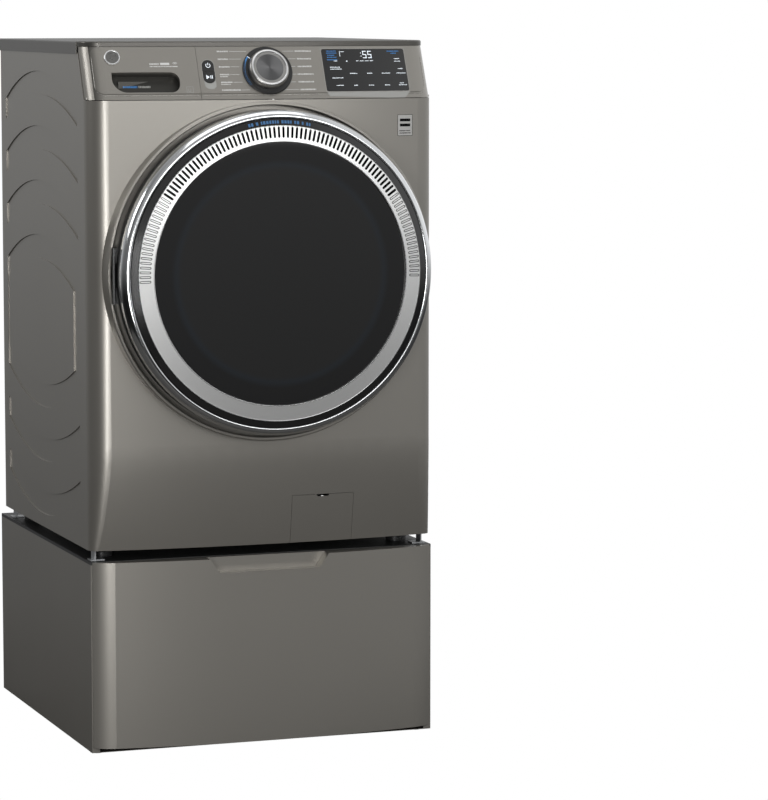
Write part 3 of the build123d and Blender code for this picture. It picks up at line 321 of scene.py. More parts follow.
grain(black_gloss, 500.0, 0.02, 0.12, 0.22)
black_plastic = moulded("black_plastic", (0.018, 0.018, 0.018), 0.42)
grey_plastic = moulded("grey_plastic", (0.22, 0.22, 0.22), 0.45)
light_plastic = moulded("light_plastic", (0.62, 0.62, 0.60), 0.42)
rubber = moulded("gasket_rubber", (0.10, 0.10, 0.10), 0.65, 0.3)
black_rubber = moulded("black_rubber", (0.015, 0.015, 0.015), 0.7, 0.4)
glass = door_glass()
display_glass = material("display_glass", (0.014, 0.014, 0.014), roughness=0.12, Coat_Weight=0.6)
grain(display_glass, 400.0, 0.01, 0.09, 0.16)
bowl_glass = material("bowl_glass", (0.85, 0.90, 0.92), roughness=0.03, Transmission_Weight=0.9, IOR=1.5)
grain(bowl_glass, 40.0, 0.02, 0.02, 0.06)
drum_steel = perforated_steel()
grip_metal = sheet_metal("knob_grip_metal", (0.46, 0.45, 0.435), 0.30, (1, 1, 1))
white_print = moulded("white_print", (0.75, 0.75, 0.73), 0.5, 0.05)
blue_print = moulded("blue_print", BLUE, 0.5, 0.05)
grey_print = moulded("grey_print", (0.40, 0.40, 0.38), 0.5, 0.05)
badge_metal = sheet_metal("badge_metal", (0.20, 0.198, 0.19), 0.42, (1, 1, 1))
edge_bright = sheet_metal("edge_bright", (0.90, 0.90, 0.90), 0.38, (1, 1, 1))
rim_metal = sheet_metal("rim_metal", (0.93, 0.93, 0.93), 0.16)
spring_steel = sheet_metal("spring_steel", (0.42, 0.42, 0.43), 0.32)
# lighter than the body paint: a painted highlight along the raised face's edge
highlight_edge_metal = sheet_metal("highlight_edge_metal", (0.62, 0.60, 0.56), 0.28)
plate_silver = sheet_metal("plate_silver", (0.62, 0.61, 0.59), 0.35)
white_light = lit_mark("white_light", (0.8, 0.85, 0.9), (0.8, 0.88, 0.95))
blue_light = lit_mark("blue_light", (0.03, 0.12, 0.30), (0.04, 0.19, 0.45))

FINISH = {
    paint: (
        "left_side_panel", "right_side_panel", "front_panel", "door_surround", "console_fascia",
        "pedestal_shell", "drawer_front", "pump_cover",
    ),
    lid_paint: ("top_lid",),
    dark_steel: ("pedestal_top", "base_frame", "door_hinge_plate", "door_hinge_arm"),
    zinc: (
        "rear_panel", "rear_access_cover", "cabinet_screws", "hold_down_brackets", "rail_outer", "rail_middle",
        "drawer_box", "suspension_springs", "damper_rods",
    ),
    alloy: ("drum_pulley", "drum_spider"),
    iron: ("counterweights", "motor_housing", "motor_rotor"),
    stainless: ("main_bearings",),
    chrome: ("door_chrome_ring",),
    black_gloss: ("door_black_ring",),
    black_plastic: (
        "knob_base_ring", "power_button", "start_button", "levelling_feet", "door_lock", "latch_hook",
        "damper_bodies", "cord_gland", "pump_filter", "pump_impeller", "door_inner_frame",
    ),
    grey_plastic: ("drum_baffles", "drain_outlet", "inlet_valve"),
    light_plastic: ("dispenser_housing", "dispenser_tray", "tub_front", "tub_rear", "drain_pump_housing"),
    rubber: ("door_gasket",),
    black_rubber: ("drive_belt", "fill_hose"),
    # the drawer's front carries painted shade inside its scoop
    scoop_painted_shade: ("dispenser_front",),
    glass: ("door_glass_outer",),
    display_glass: ("display_window",),
    bowl_glass: ("door_glass_bowl",),
    drum_steel: ("drum",),
    grip_metal: ("knob_ring", "knob_cap"),
    vent_metal: ("vent_ring",),
}
for finish, names in FINISH.items():
    for name in names:
        NODES[name].data.materials.clear()
        NODES[name].data.materials.append(finish)

# ---------------------------------------------------------------- surfaces to print on
LEAN = math.radians(25)
FACE_FOOT = 1.2946                          # height of the zero line of the controls
DISPLAY_LEFT, DISPLAY_FOOT = 123.0, 8.0     # display's lower left corner on the face, in millimetres
KNOB_X, KNOB_RISE = 5.0, 53.0               # knob's centre on the face, in millimetres
START_Y = -2.0                              # in front of the whole machine


def face(x, rise):
    """Front view place of a point across the console and up its slope, from millimetres."""
    return x * MM, FACE_FOOT + rise * MM * math.cos(LEAN)


def dial_place(radius, turn):
    """Front view place at a radius and an angle from upright about the door's centre, from millimetres."""
    angle = math.radians(turn)
    return radius * MM * math.sin(angle), DOOR_CENTRE.z + radius * MM * math.cos(angle)


def knob_place(radius, turn):
    """Front view place about the knob's centre on the sloping face, from millimetres."""
    angle = math.radians(turn)
    return face(KNOB_X + radius * math.sin(angle), KNOB_RISE + radius * math.cos(angle))


class Skin:
    """The outer surface of some nodes, found by looking straight from the front."""

    def __init__(self, *names):
        points, faces = [], []
        for name in names:
            mesh = NODES[name].data
            first = len(points)
            points += [v.co.copy() for v in mesh.vertices]
            faces += [tuple(first + i for i in p.vertices) for p in mesh.polygons]
        self.tree = BVHTree.FromPolygons(points, faces)

    def at(self, x, z, lift=0.0):
        spot, normal, _, _ = self.tree.ray_cast(Vector((x, START_Y, z)), Vector((0, 1, 0)))
        if spot is None:
            spot, normal, _, _ = self.tree.find_nearest(Vector((x, PANEL_LOW.y, z)))
        if normal.y > 0:
            normal = -normal
        return spot + normal * lift


def row(x0, x1, low, high, step=8.0):
    """A flat bar as four-sided shapes short enough to follow the bowed front, in millimetres."""
    count = max(1, math.ceil((x1 - x0) / step))
    edges = [x0 + (x1 - x0) * i / count for i in range(count + 1)]
    return [[(a, low), (b, low), (b, high), (a, high)] for a, b in zip(edges, edges[1:])]


def outline(x0, x1, low, high, line=0.8):
    """A rectangle drawn as four bars."""
    bars = row(x0, x1, high - line, high) + row(x0, x1, low, low + line)
    return bars + row(x0, x0 + line, low + line, high - line) + row(x1 - line, x1, low + line, high - line)


def words(x0, x1, low, high, seed):
    """A row of short dashes where a label would be."""
    shapes, x, chance = [], x0, random.Random(seed)
    while x < x1 - 0.8:
        end = min(x1, x + chance.uniform(1.4, 2.6))
        shapes += row(x, end, low + chance.choice((0, 0, 0.25)), high - chance.choice((0, 0, 0.4)))
        x = end + chance.uniform(0.5, 0.9)
    return shapes


def band(outer, inner, start, end, count):
    """A ring or arc as four-sided shapes in (radius, angle) coordinates."""
    edges = [start + (end - start) * i / count for i in range(count + 1)]
    return [[(inner, a), (outer, a), (outer, b), (inner, b)] for a, b in zip(edges, edges[1:])]


def arcs(x, rise, quads):
    """Arc shapes placed about a point, with their angles in radians from upright."""
    return [[(x + r * math.sin(a), rise + r * math.cos(a)) for r, a in quad] for quad in quads]


def new_piece(name, bm, mats, body, smooth=False):
    """Makes an object from a bmesh, gives it its materials and lets it ride on a body."""
    mesh = bpy.data.meshes.new(name)
    bm.normal_update()
    bm.to_mesh(mesh)
    bm.free()
    for mat in mats if isinstance(mats, (list, tuple)) else [mats]:
        mesh.materials.append(mat)
    if smooth:
        mesh.shade_smooth()
    piece = bpy.data.objects.new(name, mesh)
    bpy.context.scene.collection.objects.link(piece)
    if body:
        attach(piece, body)
    return piece


def printed(name, body, mat, skin, shapes, place=face, lift=0.00012, thick=0.00010):
    """Ink or a thin raised mark: flat shapes laid on a surface."""
    bm = bmesh.new()
    for shape in shapes:
        spots = [place(*corner) for corner in shape]
        low = [bm.verts.new(skin.at(x, z, lift - thick)) for x, z in spots]
        top = [bm.verts.new(skin.at(x, z, lift)) for x, z in spots]
        bm.faces.new(top)
        for i in range(len(spots)):
            j = (i + 1) % len(spots)
            bm.faces.new((low[i], low[j], top[j], top[i]))
    bmesh.ops.remove_doubles(bm, verts=bm.verts, dist=0.00002)
    bmesh.ops.recalc_face_normals(bm, faces=bm.faces)
    return new_piece(name, bm, mat, body)


console = Skin("console_fascia")
drawer_face = Skin("dispenser_front")
window = Skin("display_window")

# ---------------------------------------------------------------- cycle marks round the knob
MARK_RISES = (94.0, 77.6, 61.2, 44.8, 28.4, 12.0)
LEFT_LABEL_ENDS = (-69.5, -72.5, -71.0, -74.0, -69.5, -54.5)
LEFT_LINE_ENDS = (-33.0, -46.0, -51.5, -53.0, -49.0, -36.0)
RIGHT_LINES = ((41, 65), (46, 67), (49, 64), (50, 64), (43, 61), (28, 65))
RIGHT_LABELS = ((67.5, 101), (70, 99), (69, 98), (66.5, 100), (66, 99.5), (68, 100.5))
LABEL_START = -92.5
HALF_LINE, HALF_LABEL = 0.35, 1.5
TWO_LINE_LABELS = (3, 4)
lines, labels = [], []
for i, rise in enumerate(MARK_RISES):
    lines += row(LEFT_LABEL_ENDS[i] + 2, LEFT_LINE_ENDS[i], rise - HALF_LINE, rise + HALF_LINE)
    lines += row(*RIGHT_LINES[i], rise - HALF_LINE, rise + HALF_LINE)
    labels += words(LABEL_START, LEFT_LABEL_ENDS[i], rise - HALF_LABEL, rise + HALF_LABEL, seed=i)
    labels += words(*RIGHT_LABELS[i], rise - HALF_LABEL, rise + HALF_LABEL, seed=10 + i)
    if i in TWO_LINE_LABELS:
        labels += words(LABEL_START, LEFT_LABEL_ENDS[i] - 3, rise - 5.2, rise - 3.4, seed=20 + i)
printed("cycle_lines", "cabinet", white_print, console, lines)
printed("cycle_labels", "cabinet", white_print, console, labels)

# ---------------------------------------------------------------- dispenser face marks
marks = row(-208.5, -190.5, 66.0, 70.4)
marks += words(-229.5, -211.0, 66.4, 69.6, seed=31)
marks += words(-229.5, -184.0, 61.6, 63.6, seed=32)
printed("dispenser_marks", "dispenser", white_print, drawer_face, marks)
fan = []
for radius in (3.2, 5.6):
    fan += arcs(-179.5, 65.4, band(radius + 0.55, radius - 0.55, -0.9, 0.9, 8))
fan += row(-185.0, -174.5, 61.6, 63.4)
printed("dispenser_icon", "dispenser", white_print, drawer_face, fan)
square = outline(-163.0, -149.5, 6.6, 20.0)
square += row(-159.5, -154.5, 9.4, 10.2) + row(-159.5, -158.7, 10.2, 15.6) + row(-155.3, -154.5, 10.2, 15.6)
printed("dispenser_emblem", "dispenser", grey_print, drawer_face, square)
# the blue mark is printed; its material gives it a painted glow
printed("scoop_mark_blue", "dispenser", blue_light, drawer_face, words(-280.5, -252.5, 16.6, 21.0, seed=33))
printed("scoop_mark_grey", "dispenser", grey_print, drawer_face, words(-250.0, -225.5, 16.6, 21.0, seed=34))


def lathe(name, body, mat, origin, axis, profile, steps=72):
    """Turned solid: (radius, height) profile in millimetres about an axis, the object's own Z."""
    bm = bmesh.new()
    rings = []
    for radius, height in profile:
        turns = [math.tau * k / steps for k in range(steps)] if radius else [0.0]
        reach = radius * MM
        rings.append([bm.verts.new((reach * math.cos(a), reach * math.sin(a), height * MM)) for a in turns])
    for a, b in zip(rings, rings[1:]):
        for k in range(steps):
            j = (k + 1) % steps
            corners = [a[k % len(a)], a[j % len(a)], b[j % len(b)], b[k % len(b)]]
            bm.faces.new(list(dict.fromkeys(corners)))
    bmesh.ops.recalc_face_normals(bm, faces=bm.faces)
    piece = new_piece(name, bm, mat, body, smooth=True)
    turn = Vector((0, 0, 1)).rotation_difference(Vector(axis).normalized())
    piece.matrix_world = Matrix.Translation(origin) @ turn.to_matrix().to_4x4()
    piece.data.set_sharp_from_angle(angle=math.radians(35))
    return piece


def door_lathe(name, mat, foot, profile, steps, body="door"):
    """Turned solid about the door's axis, with heights measured forwards from a plane of constant Y."""
    return lathe(name, body, mat, Vector((0, foot, DOOR_CENTRE.z)), FORWARD, profile, steps)


badge_place = face(-300.5, 82.0)
badge_spot = drawer_face.at(*badge_place)
badge_out = (drawer_face.at(*badge_place, 0.01) - badge_spot).normalized()
lathe("badge_rim", "dispenser", edge_bright, badge_spot, badge_out, [
    (12.6, -0.5), (12.9, 1.3), (13.6, 1.8), (15.0, 1.8), (15.5, 1.2), (15.5, -2.0), (12.6, -2.0), (12.6, -0.5),
])
lathe("badge_disc", "dispenser", badge_metal, badge_spot, badge_out, [
    (0, 0.9), (4.0, 0.9), (4.6, 0.4), (8.2, 0.4), (8.8, 0.9), (12.9, 0.9), (12.9, -1.5), (0, -1.5),
])


# ---------------------------------------------------------------- rolled edge of the raised face, in a lighter metal as a painted highlight line
def heading(path, i):
    """Direction of a path at one of its points."""
    return (path[min(i + 1, len(path) - 1)] - path[max(i - 1, 0)]).normalized()


def bead(name, body, skin, path, radius=0.45, sides=6):
    """A fine rounded edge that follows a path of face places, in a metal lighter than the body paint: a painted
    highlight line.
    """
    spots = [skin.at(*face(*spot), 0.0002) for spot in path]
    turns = [math.pi * k / (sides - 1) for k in range(sides)]
    bm = bmesh.new()
    rings = []
    for i, spot in enumerate(spots):
        along = heading(spots, i)
        out = Vector((0, -math.cos(LEAN), math.sin(LEAN)))
        out = (out - along * out.dot(along)).normalized()
        across = along.cross(out)
        rings.append([
            bm.verts.new(spot + (out * math.sin(a) + across * math.cos(a)) * radius * MM) for a in turns
        ])
    for a, b in zip(rings, rings[1:]):
        for k in range(sides - 1):
            bm.faces.new((a[k], a[k + 1], b[k + 1], b[k]))
    bmesh.ops.recalc_face_normals(bm, faces=bm.faces)
    return new_piece(name, bm, highlight_edge_metal, body, smooth=True)


def corner_path(x, rise, radius, first, last):
    """Places round a corner of the face, by the angle from +X."""
    turns = [math.radians(first + (last - first) * k / 8) for k in range(9)]
    return [(x + radius * math.cos(a), rise + radius * math.sin(a)) for a in turns]


left_edge = [(-139.0 - 6 * k, 1.2) for k in range(31)]
left_edge += corner_path(-321.0, 19.2, 18.0, 270, 180) + [(-339.0, 26.0 + 6 * k) for k in range(10)]
bead("drawer_bead", "dispenser", drawer_face, left_edge)
right_edge = [(-131.0 + 6 * k, 1.2) for k in range(76)]
right_edge += corner_path(321.0, 19.2, 18.0, 270, 360) + [(339.0, 26.0 + 6 * k) for k in range(10)]
bead("console_bead", "cabinet", console, right_edge)

# ---------------------------------------------------------------- push buttons
PILL = -114.5
POWER_RISE, START_RISE, PILL_RADIUS = 64.5, 39.5, 11.5
power = Skin("power_button")
start = Skin("start_button")
ring = arcs(PILL, POWER_RISE, band(4.9, 3.7, 0.7, math.tau - 0.7, 28))
printed("power_icon", "power_key", white_light, power, ring + row(PILL - 0.6, PILL + 0.6, 64.8, 70.2))
play = [[(PILL - 6.2, 35.4), (PILL - 6.2, 44.4), (PILL + 0.4, 39.9)]]
play += row(PILL + 2.0, PILL + 3.4, 36.4, 43.4) + row(PILL + 5.0, PILL + 6.4, 36.4, 43.4)
printed("start_icon", "start_key", white_light, start, play)


def pill_outline(grow):
    """Points round the two-part push button, from the right side anticlockwise."""
    radius = PILL_RADIUS + grow
    points = []
    for centre, first in ((POWER_RISE, 0), (START_RISE, 180)):
        turns = [math.radians(first + 10 * k) for k in range(19)]
        points += [(PILL + radius * math.cos(a), centre + radius * math.sin(a)) for a in turns]
    return points


outer, inner = pill_outline(1.5), pill_outline(0.75)
rim = [[outer[k - 1], outer[k], inner[k], inner[k - 1]] for k in range(len(outer))]
printed("pill_rim", "cabinet", grey_print, console, rim)


# ---------------------------------------------------------------- display
def window_row(u0, u1, v0, v1):
    """A bar placed from the display's lower left corner."""
    return row(DISPLAY_LEFT + u0, DISPLAY_LEFT + u1, DISPLAY_FOOT + v0, DISPLAY_FOOT + v1)


def window_words(u0, u1, v, tall, seed):
    """A dashed label placed from the display's lower left corner."""
    return words(DISPLAY_LEFT + u0, DISPLAY_LEFT + u1, DISPLAY_FOOT + v, DISPLAY_FOOT + v + tall, seed)


def five(u, v, wide=8.0, tall=15.5, stroke=1.7):
    """The figure 5 in five segments."""
    half, right = tall / 2, u + wide
    shapes = window_row(u, right, v + tall - stroke, v + tall) + window_row(u, u + stroke, v + half, v + tall)
    shapes += window_row(u, right, v + half - stroke / 2, v + half + stroke / 2)
    return shapes + window_row(right - stroke, right, v, v + half) + window_row(u, right, v, v + stroke)


figures = five(88, 70) + five(99, 70)
figures += window_row(83.5, 85.2, 80.2, 82.0) + window_row(83.5, 85.2, 73.6, 75.4)
figures += window_row(38.4, 39.4, 74, 85.5) + window_row(41.0, 48.5, 83.6, 84.6)
printed("display_figures", "cabinet", white_light, window, figures, lift=0.0002)

small = []
for v, spans in (
    (63.5, ((72, 77), (80, 88), (91, 99), (102, 109), (24, 31))),
    (46.0, ((14, 38), (161, 172))),
    (36.5, ((55, 71), (92, 104), (124, 142), (156, 176))),
    (27.0, ((16, 40),)),
    (11.0, ((22, 38), (60, 69), (92, 103), (127, 138), (158, 176))),
    (62.0, ((155, 168),)),
    (67.5, ((155, 168),)),
    (50.0, ((14, 36),)),
    (15.0, ((160, 170),)),
):
    for k, (u0, u1) in enumerate(spans):
        small += window_words(u0, u1, v, 1.7, seed=int(40 + v + k))
small += window_row(50.5, 53.0, 62.5, 65.0)
printed("display_labels", "cabinet", white_light, window, small, lift=0.0002)
lit = window_row(10, 32, 80.5, 82.1) + window_row(10, 32, 66.0, 67.6)
LIT_LABELS = ((11, 31, 84.5), (12, 28, 75.6), (11, 31, 71.0), (142, 168, 83.6), (150, 162, 79.0))
for k, (u0, u1, v) in enumerate(LIT_LABELS):
    lit += window_words(u0, u1, v, 2.2, seed=60 + k)
printed("display_lit_items", "cabinet", blue_light, window, lit, lift=0.0002)
printed("display_frame", "cabinet", grey_print, console, outline(121.6, 303.4, 6.7, 100.0))

# ---------------------------------------------------------------- knob
knob_skin = Skin("knob_base_ring")
printed("knob_glow", "cabinet", blue_light, knob_skin, band(49.6, 46.6, -128, -52, 24), place=knob_place)
face_metal = material("knob_face_metal", (0.19, 0.19, 0.192), metallic=1.0, roughness=0.30, Anisotropic=0.9)
grooves = node(face_metal, "ShaderNodeTexNoise", noise_dimensions="1D", Scale=2600.0, Detail=2.0)
spot = node(face_metal, "ShaderNodeTexCoord")
reach = node(face_metal, "ShaderNodeVectorMath", operation="LENGTH")
link(face_metal, spot.outputs["Object"], reach.inputs[0])
link(face_metal, reach.outputs["Value"], grooves.inputs["W"])
emboss(face_metal, grooves.outputs["Fac"], 0.10, 0.1 * MM)
tangent = node(face_metal, "ShaderNodeTangent", direction_type="RADIAL", axis="Z")
link(face_metal, tangent.outputs["Tangent"], shader_of(face_metal).inputs["Tangent"])
lathe("knob_face", "cycle_knob", face_metal, KNOB_ORIGIN, KNOB_AXIS, [
    (0, 17.30), (8, 17.28), (16, 17.22), (24, 17.14), (31.6, 17.06), (32.3, 17.0), (32.3, 16.4), (0, 16.4),
])
grip = lathe("knob_grip", "cycle_knob", grip_metal, KNOB_ORIGIN, KNOB_AXIS, [
    (33.4, 4.8), (41.0, 4.8), (40.9, 8.0), (40.2, 13.0), (39.2, 15.8), (37.6, 17.7), (36.0, 18.5),
    (34.6, 18.5), (33.5, 17.9), (33.2, 16.6), (33.2, 4.8), (33.4, 4.8),
], steps=120)
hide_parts("knob_ring")
lathe("knob_edge", "cycle_knob", edge_bright, KNOB_ORIGIN, KNOB_AXIS, [
    (33.3, 17.6), (33.9, 18.45), (34.6, 18.6), (35.8, 18.6), (36.5, 18.35), (36.5, 17.4), (33.3, 17.4),
    (33.3, 17.6),
], steps=120)
printed("knob_index", "cabinet", white_light, knob_skin, band(49.5, 43.0, -53.0, -51.2, 1), place=knob_place)

# ---------------------------------------------------------------- plain rating plate on the front panel
panel = Skin("front_panel")


def plain(x, z):
    """Front view place from millimetres."""
    return x * MM, z * MM


PLATE = (273, 306, 1212, 1254)
printed("plate_ground", "cabinet", plate_silver, panel, row(*PLATE), place=plain, lift=0.00018)
edge = outline(*PLATE)
edge += words(277, 302, 1221.0, 1223.0, seed=81) + words(277, 302, 1216.5, 1218.5, seed=82)
bars = row(278, 301, 1240.5, 1246) + row(278, 301, 1230.5, 1236)
printed("plate_marks", "cabinet", slot_black, panel, edge + bars, place=plain, lift=0.00028)

# ---------------------------------------------------------------- door
ring_skin = Skin("door_black_ring")
arc = []
turn, chance = -12.8, random.Random(5)
while turn < 12.6:
    wide = chance.uniform(0.55, 0.95)
    arc += band(297.4, 291.6, turn, turn + wide, 2)
    turn += wide + (0.32 if chance.random() < 0.86 else 1.1)
printed("ring_accent", "door", blue_print, ring_skin, arc, place=dial_place)

SECTORS = 190
VENT_R = (257.0, 288.0)
SLOT_R = (263.6, 286.0)
SLOT_HALF = 2.45                            # half of a slot's width, in millimetres
SLOT_END = 0.7                              # rounding of a slot's ends
SLOT_DEPTH, OUTLINE_DEPTH = 2.0, 0.9
FILLED_TO, OUTLINED_TO = 57.0, 93.0         # angles from the top where the slots change, in degrees
CONE_RISE = 4.0


def vent_face(radius, sunk=0.0):
    """Y of the vent ring's coned face at a radius, set back by a depth, from millimetres."""
    rise = (VENT_R[1] - radius) / (VENT_R[1] - VENT_R[0])
    return VENT_LOW.y + (CONE_RISE * (1 - rise) + sunk) * MM


def vent_spot(radius, turn, sunk=0.0):
    x, z = dial_place(radius, turn)
    return Vector((x, vent_face(radius, sunk), z))


def vent_ring():
    """Bright ring with open radial slots near the top, outlined slots at the sides and a plain foot."""
    bm = bmesh.new()
    step = 360.0 / SECTORS
    low, high = VENT_R
    near, far = SLOT_R
    half = step / 2
    for k in range(SECTORS):
        centre = (k + 0.5) * step
        side = centre if centre <= 180 else centre - 360

        def corner(radius, offset, sunk=0.0):
            return bm.verts.new(vent_spot(radius, centre + offset, sunk))

        if abs(side) > OUTLINED_TO:
            bm.faces.new([corner(low, -half), corner(low, half), corner(high, half), corner(high, -half)])
            continue
        border = [
            (low, 0), (low, half), (near + 2.2, half), (far - 2.2, half), (high, half),
            (high, 0), (high, -half), (far - 2.2, -half), (near + 2.2, -half), (low, -half),
        ]
        slim, end = SLOT_HALF, SLOT_END
        slot = [
            (near, 0), (near + end, end * slim), (near + slim, slim),
            (far - slim, slim), (far - end, end * slim), (far, 0), (far - end, -end * slim), (far - slim, -slim),
            (near + slim, -slim), (near + end, -end * slim),
        ]
        slot = [(r, math.degrees(across / r)) for r, across in slot]
        rim_loop = [corner(r, a) for r, a in border]
        slot_loop = [corner(r, a) for r, a in slot]
        for i in range(10):
            j = (i + 1) % 10
            bm.faces.new((rim_loop[i], rim_loop[j], slot_loop[j], slot_loop[i]))
        open_slot = abs(side) <= FILLED_TO
        depth = SLOT_DEPTH if open_slot else OUTLINE_DEPTH
        foot = [corner(r, a, depth) for r, a in slot]
        for i in range(10):
            j = (i + 1) % 10
            bm.faces.new((slot_loop[i], slot_loop[j], foot[j], foot[i])).material_index = 1
        if open_slot:
            bm.faces.new(foot).material_index = 1
        else:
            middle = (near + far) / 2
            inset = [(middle + (r - middle) * 0.88, a * 0.46) for r, a in slot]
            island = [corner(r, a, depth) for r, a in inset]
            raised = [corner(r, a) for r, a in inset]
            for i in range(10):
                j = (i + 1) % 10
                bm.faces.new((foot[i], foot[j], island[j], island[i])).material_index = 1
                bm.faces.new((island[i], island[j], raised[j], raised[i])).material_index = 1
            bm.faces.new(raised)
    for k in range(SECTORS):
        start_turn, end_turn = k * step, (k + 1) * step
        for radius, back_by in ((low, 12.0), (high, 11.0)):
            a, b = vent_spot(radius, start_turn), vent_spot(radius, end_turn)
            c, d = vent_spot(radius, end_turn, back_by), vent_spot(radius, start_turn, back_by)
            bm.faces.new([bm.verts.new(p) for p in (a, b, c, d)])
    bmesh.ops.remove_doubles(bm, verts=bm.verts, dist=0.00001)
    bmesh.ops.recalc_face_normals(bm, faces=bm.faces)
    piece = new_piece("slotted_vent_ring", bm, [vent_metal, slot_black], "door")
    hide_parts("vent_ring")
    return piece


vent_ring()

door_lathe("vent_rim_inner", rim_metal, VENT_LOW.y, [
    (257.0, -3.0), (257.0, -0.2), (257.4, -0.05), (258.3, -0.05), (258.7, -0.15), (258.9, -3.0), (257.0, -3.0),
], steps=240)
door_lathe("vent_rim_outer", rim_metal, VENT_LOW.y, [
    (286.7, -6.0), (286.7, -3.7), (287.1, -3.3), (287.7, -3.3), (288.0, -3.8), (288.0, -6.0), (286.7, -6.0),
], steps=240)

CHROME_BACK = (CHROME_HIGH.y - CHROME_LOW.y) / MM
CHROME_R = (CHROME_HIGH.x - CHROME_LOW.x) / 2 / MM
profile = [(CHROME_R - 4.0, 20.0), (CHROME_R, 20.0), (CHROME_R, CHROME_BACK - 19)]
for i in range(1, 13):
    swing = math.radians(7.5 * i)
    profile.append((CHROME_R - 13.5 + 13.5 * math.cos(swing), CHROME_BACK - 19 + 19 * math.sin(swing)))
for i in range(1, 7):
    swing = math.radians(15 * i)
    profile.append((CHROME_R - 13.5 - 3.5 * math.sin(swing), CHROME_BACK - 5 + 5 * math.cos(swing)))
profile += [
    (CHROME_R - 17, CHROME_BACK - 7), (CHROME_R - 8, CHROME_BACK - 16), (CHROME_R - 4, CHROME_BACK - 22),
    (CHROME_R - 4, 20.0),
]
band_piece = door_lathe("door_bright_band", chrome, CHROME_HIGH.y, profile, steps=240)
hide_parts("door_chrome_ring")
door_lathe("door_skirt", black_plastic, CHROME_HIGH.y, [
    (CHROME_R - 4, 0), (CHROME_R - 1, 0), (CHROME_R - 0.6, 19.0), (CHROME_R - 1.2, 19.7), (CHROME_R - 4, 19.8),
    (CHROME_R - 4, 0),
], steps=180)

GLASS_LOW, GLASS_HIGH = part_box("door_glass_outer")
glass_radius = (GLASS_HIGH.x - GLASS_LOW.x) / 2 / MM
crown = 2.5                                  # the glass stands this much prouder in the middle
front = (GLASS_HIGH.y - GLASS_LOW.y) / MM
profile = [(0, front)]
for i in range(1, 25):
    share = i / 24
    profile.append(((glass_radius - 1.6) * share, front - (crown - 0.4) * share**2))
profile += [
    (glass_radius - 0.8, front - crown + 0.36), (glass_radius - 0.2, front - crown + 0.1),
    (glass_radius, front - crown - 0.6), (glass_radius, 0), (0, 0),
]
dome = door_lathe("door_glass", glass, GLASS_HIGH.y, profile, steps=144)
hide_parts("door_glass_outer")

# ---------------------------------------------------------------- pieces between cabinet and tub, which bend in the real machine; here they are fixed meshes on no body
GASKET_LOW, GASKET_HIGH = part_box("door_gasket")
gasket_back = (GASKET_HIGH.y - GASKET_LOW.y) / MM
bellows = door_lathe("gasket_bellows", rubber, GASKET_HIGH.y, [
    (205, gasket_back), (205, 78), (204.4, 68), (200, 63), (194, 60.5), (190.5, 57.5), (190, 50), (190, 40),
    (190.6, 27), (195, 20), (201, 13), (204, 8), (204, 0), (200, 0), (200, 5), (197, 11), (191, 18),
    (186.6, 24), (186, 34), (186, 46), (186, 56), (187, 61), (191, 64.5), (197, 68), (200.6, 71), (201, 80),
    (201, gasket_back), (205, gasket_back),
], steps=144, body=None)
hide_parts("door_gasket")
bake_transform(bellows)

SPRING_LOW, SPRING_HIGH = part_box("suspension_springs")
WIRE, COIL, COILS, AROUND = 1.6 * MM, 8.2 * MM, 15, 16
TANG = 12 * MM                              # straight part at each end of a spring
HALF_SPRING = 10 * MM                       # from a spring's centre to the side of its box
WIRE_SIDES = 6


def coil(bm, x, y, low, high):
    """One open-wound spring with a straight tang at each end."""
    path = [Vector((x, y, low))]
    for i in range(COILS * AROUND + 1):
        swing = math.tau * i / AROUND
        height = low + TANG + (high - low - 2 * TANG) * i / (COILS * AROUND)
        path.append(Vector((x + COIL * math.cos(swing), y + COIL * math.sin(swing), height)))
    path.append(Vector((x, y, high)))
    turns = [math.tau * k / WIRE_SIDES for k in range(WIRE_SIDES)]
    rings = []
    for i, spot in enumerate(path):
        along = heading(path, i)
        side = along.cross(Vector((0.3, 0.2, 1))).normalized()
        up = side.cross(along)
        rings.append([bm.verts.new(spot + (side * math.cos(a) + up * math.sin(a)) * WIRE) for a in turns])
    for a, b in zip(rings, rings[1:]):
        for k in range(WIRE_SIDES):
            j = (k + 1) % WIRE_SIDES
            bm.faces.new((a[k], a[j], b[j], b[k]))
    bm.faces.new(rings[0])
    bm.faces.new(rings[-1])


bm = bmesh.new()
reach_x = SPRING_HIGH.x - HALF_SPRING
for x in (-reach_x, reach_x):
    for y in (SPRING_LOW.y + HALF_SPRING, SPRING_HIGH.y - HALF_SPRING):
        coil(bm, x, y, SPRING_LOW.z + WIRE, SPRING_HIGH.z - WIRE)
bmesh.ops.recalc_face_normals(bm, faces=bm.faces)
springs = new_piece("coil_springs", bm, spring_steel, None, smooth=True)
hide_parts("suspension_springs")
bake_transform(springs)

# ---------------------------------------------------------------- camera, floor and lights
camera_data = bpy.data.cameras.new("camera")
camera_data.lens = 159.74
camera_data.sensor_width = 36.0
camera_data.clip_end = 100.0
camera = bpy.data.objects.new("camera", camera_data)
camera.location = (-2.1606, -6.9504, 1.4696)
camera.rotation_euler = (math.radians(90 - 6.347), 0, math.radians(-19.963))
bpy.context.scene.collection.objects.link(camera)
bpy.context.scene.camera = camera


def area_light(name, location, target, width, height, power):
    """A soft rectangular light aimed at a point."""
    data = bpy.data.lights.new(name, "AREA")
    data.shape = "RECTANGLE"
    data.size, data.size_y, data.energy = width, height, power
    light = bpy.data.objects.new(name, data)
    light.location = location
    light.visible_camera = False
    light.rotation_euler = (Vector(target) - Vector(location)).to_track_quat("-Z", "Y").to_euler()
    bpy.context.scene.collection.objects.link(light)


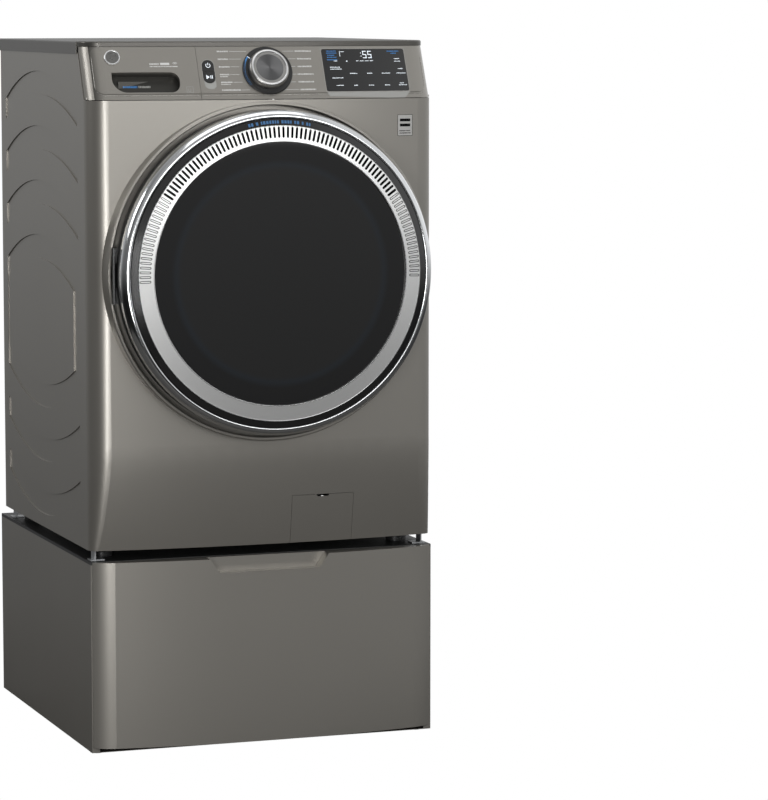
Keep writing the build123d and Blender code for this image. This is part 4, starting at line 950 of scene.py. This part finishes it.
def white_to_camera(owner, kind, shader, output):
    """Shows plain white to the camera only, and the shader to everything else."""
    plain_white = node(owner, kind, Color=(1, 1, 1, 1))
    seen = node(owner, "ShaderNodeLightPath")
    either = node(owner, "ShaderNodeMixShader")
    link(owner, seen.outputs["Is Camera Ray"], either.inputs["Fac"])
    link(owner, shader, either.inputs[1])
    link(owner, plain_white.outputs[0], either.inputs[2])
    link(owner, either.outputs["Shader"], owner.node_tree.nodes[output].inputs["Surface"])


area_light("left_strip", (-1.45, -3.1, 0.75), (-0.3, -0.3, 0.65), 0.60, 1.20, 30)
area_light("front_soft", (0.5, -3.5, 1.75), (0, -0.3, 1.2), 2.2, 0.9, 22)
area_light("top_soft", (0.0, -0.6, 4.0), (0, 0, 1.0), 3.0, 2.4, 30)
area_light("side_fill", (-4.2, 0.9, 3.0), (-0.3, 0, 1.1), 1.6, 1.6, 40)

floor_mesh = bpy.data.meshes.new("floor")
floor_bm = bmesh.new()
bmesh.ops.create_circle(floor_bm, cap_ends=True, segments=96, radius=1.8)
floor_bm.to_mesh(floor_mesh)
floor_bm.free()
floor = bpy.data.objects.new("floor", floor_mesh)
bpy.context.scene.collection.objects.link(floor)
floor_mat = material("floor_pale", (0.07, 0.068, 0.065), roughness=0.9)
grain(floor_mat, 30.0, 0.02, 0.85, 0.95)
white_to_camera(floor_mat, "ShaderNodeEmission", shader_of(floor_mat).outputs["BSDF"], "Material Output")
floor_mesh.materials.append(floor_mat)

world = bpy.data.worlds.new("studio")
bpy.context.scene.world = world
world.use_nodes = True
room = world.node_tree.nodes["Background"]
room.inputs["Color"].default_value = (0.98, 0.99, 1.0, 1)
toward = node(world, "ShaderNodeTexCoord")
parts = node(world, "ShaderNodeSeparateXYZ")
link(world, toward.outputs["Generated"], parts.inputs["Vector"])


def spread_over(direction, low, high, to_low, to_high):
    """A smooth step in the light of the room along one direction."""
    made = node(world, "ShaderNodeMapRange", interpolation_type="SMOOTHSTEP",
                From_Min=low, From_Max=high, To_Min=to_low, To_Max=to_high)
    link(world, parts.outputs[direction], made.inputs["Value"])
    return made.outputs["Result"]


strength = spread_over("Z", -0.235, 0.08, 0.02, 0.43)
for step in (
    ("Z", 0.15, 0.75, 1.0, 0.80), ("X", -0.95, -0.45, 0.30, 1.0),
    ("X", 0.32, 0.60, 1.0, 2.0), ("Y", -0.10, 0.70, 1.0, 1.20),
):
    product = node(world, "ShaderNodeMath", operation="MULTIPLY")
    link(world, strength, product.inputs[0])
    link(world, spread_over(*step), product.inputs[1])
    strength = product.outputs["Value"]
link(world, strength, room.inputs["Strength"])
white_to_camera(world, "ShaderNodeBackground", room.outputs["Background"], "World Output")
bpy.context.scene.view_settings.view_transform = "Standard"
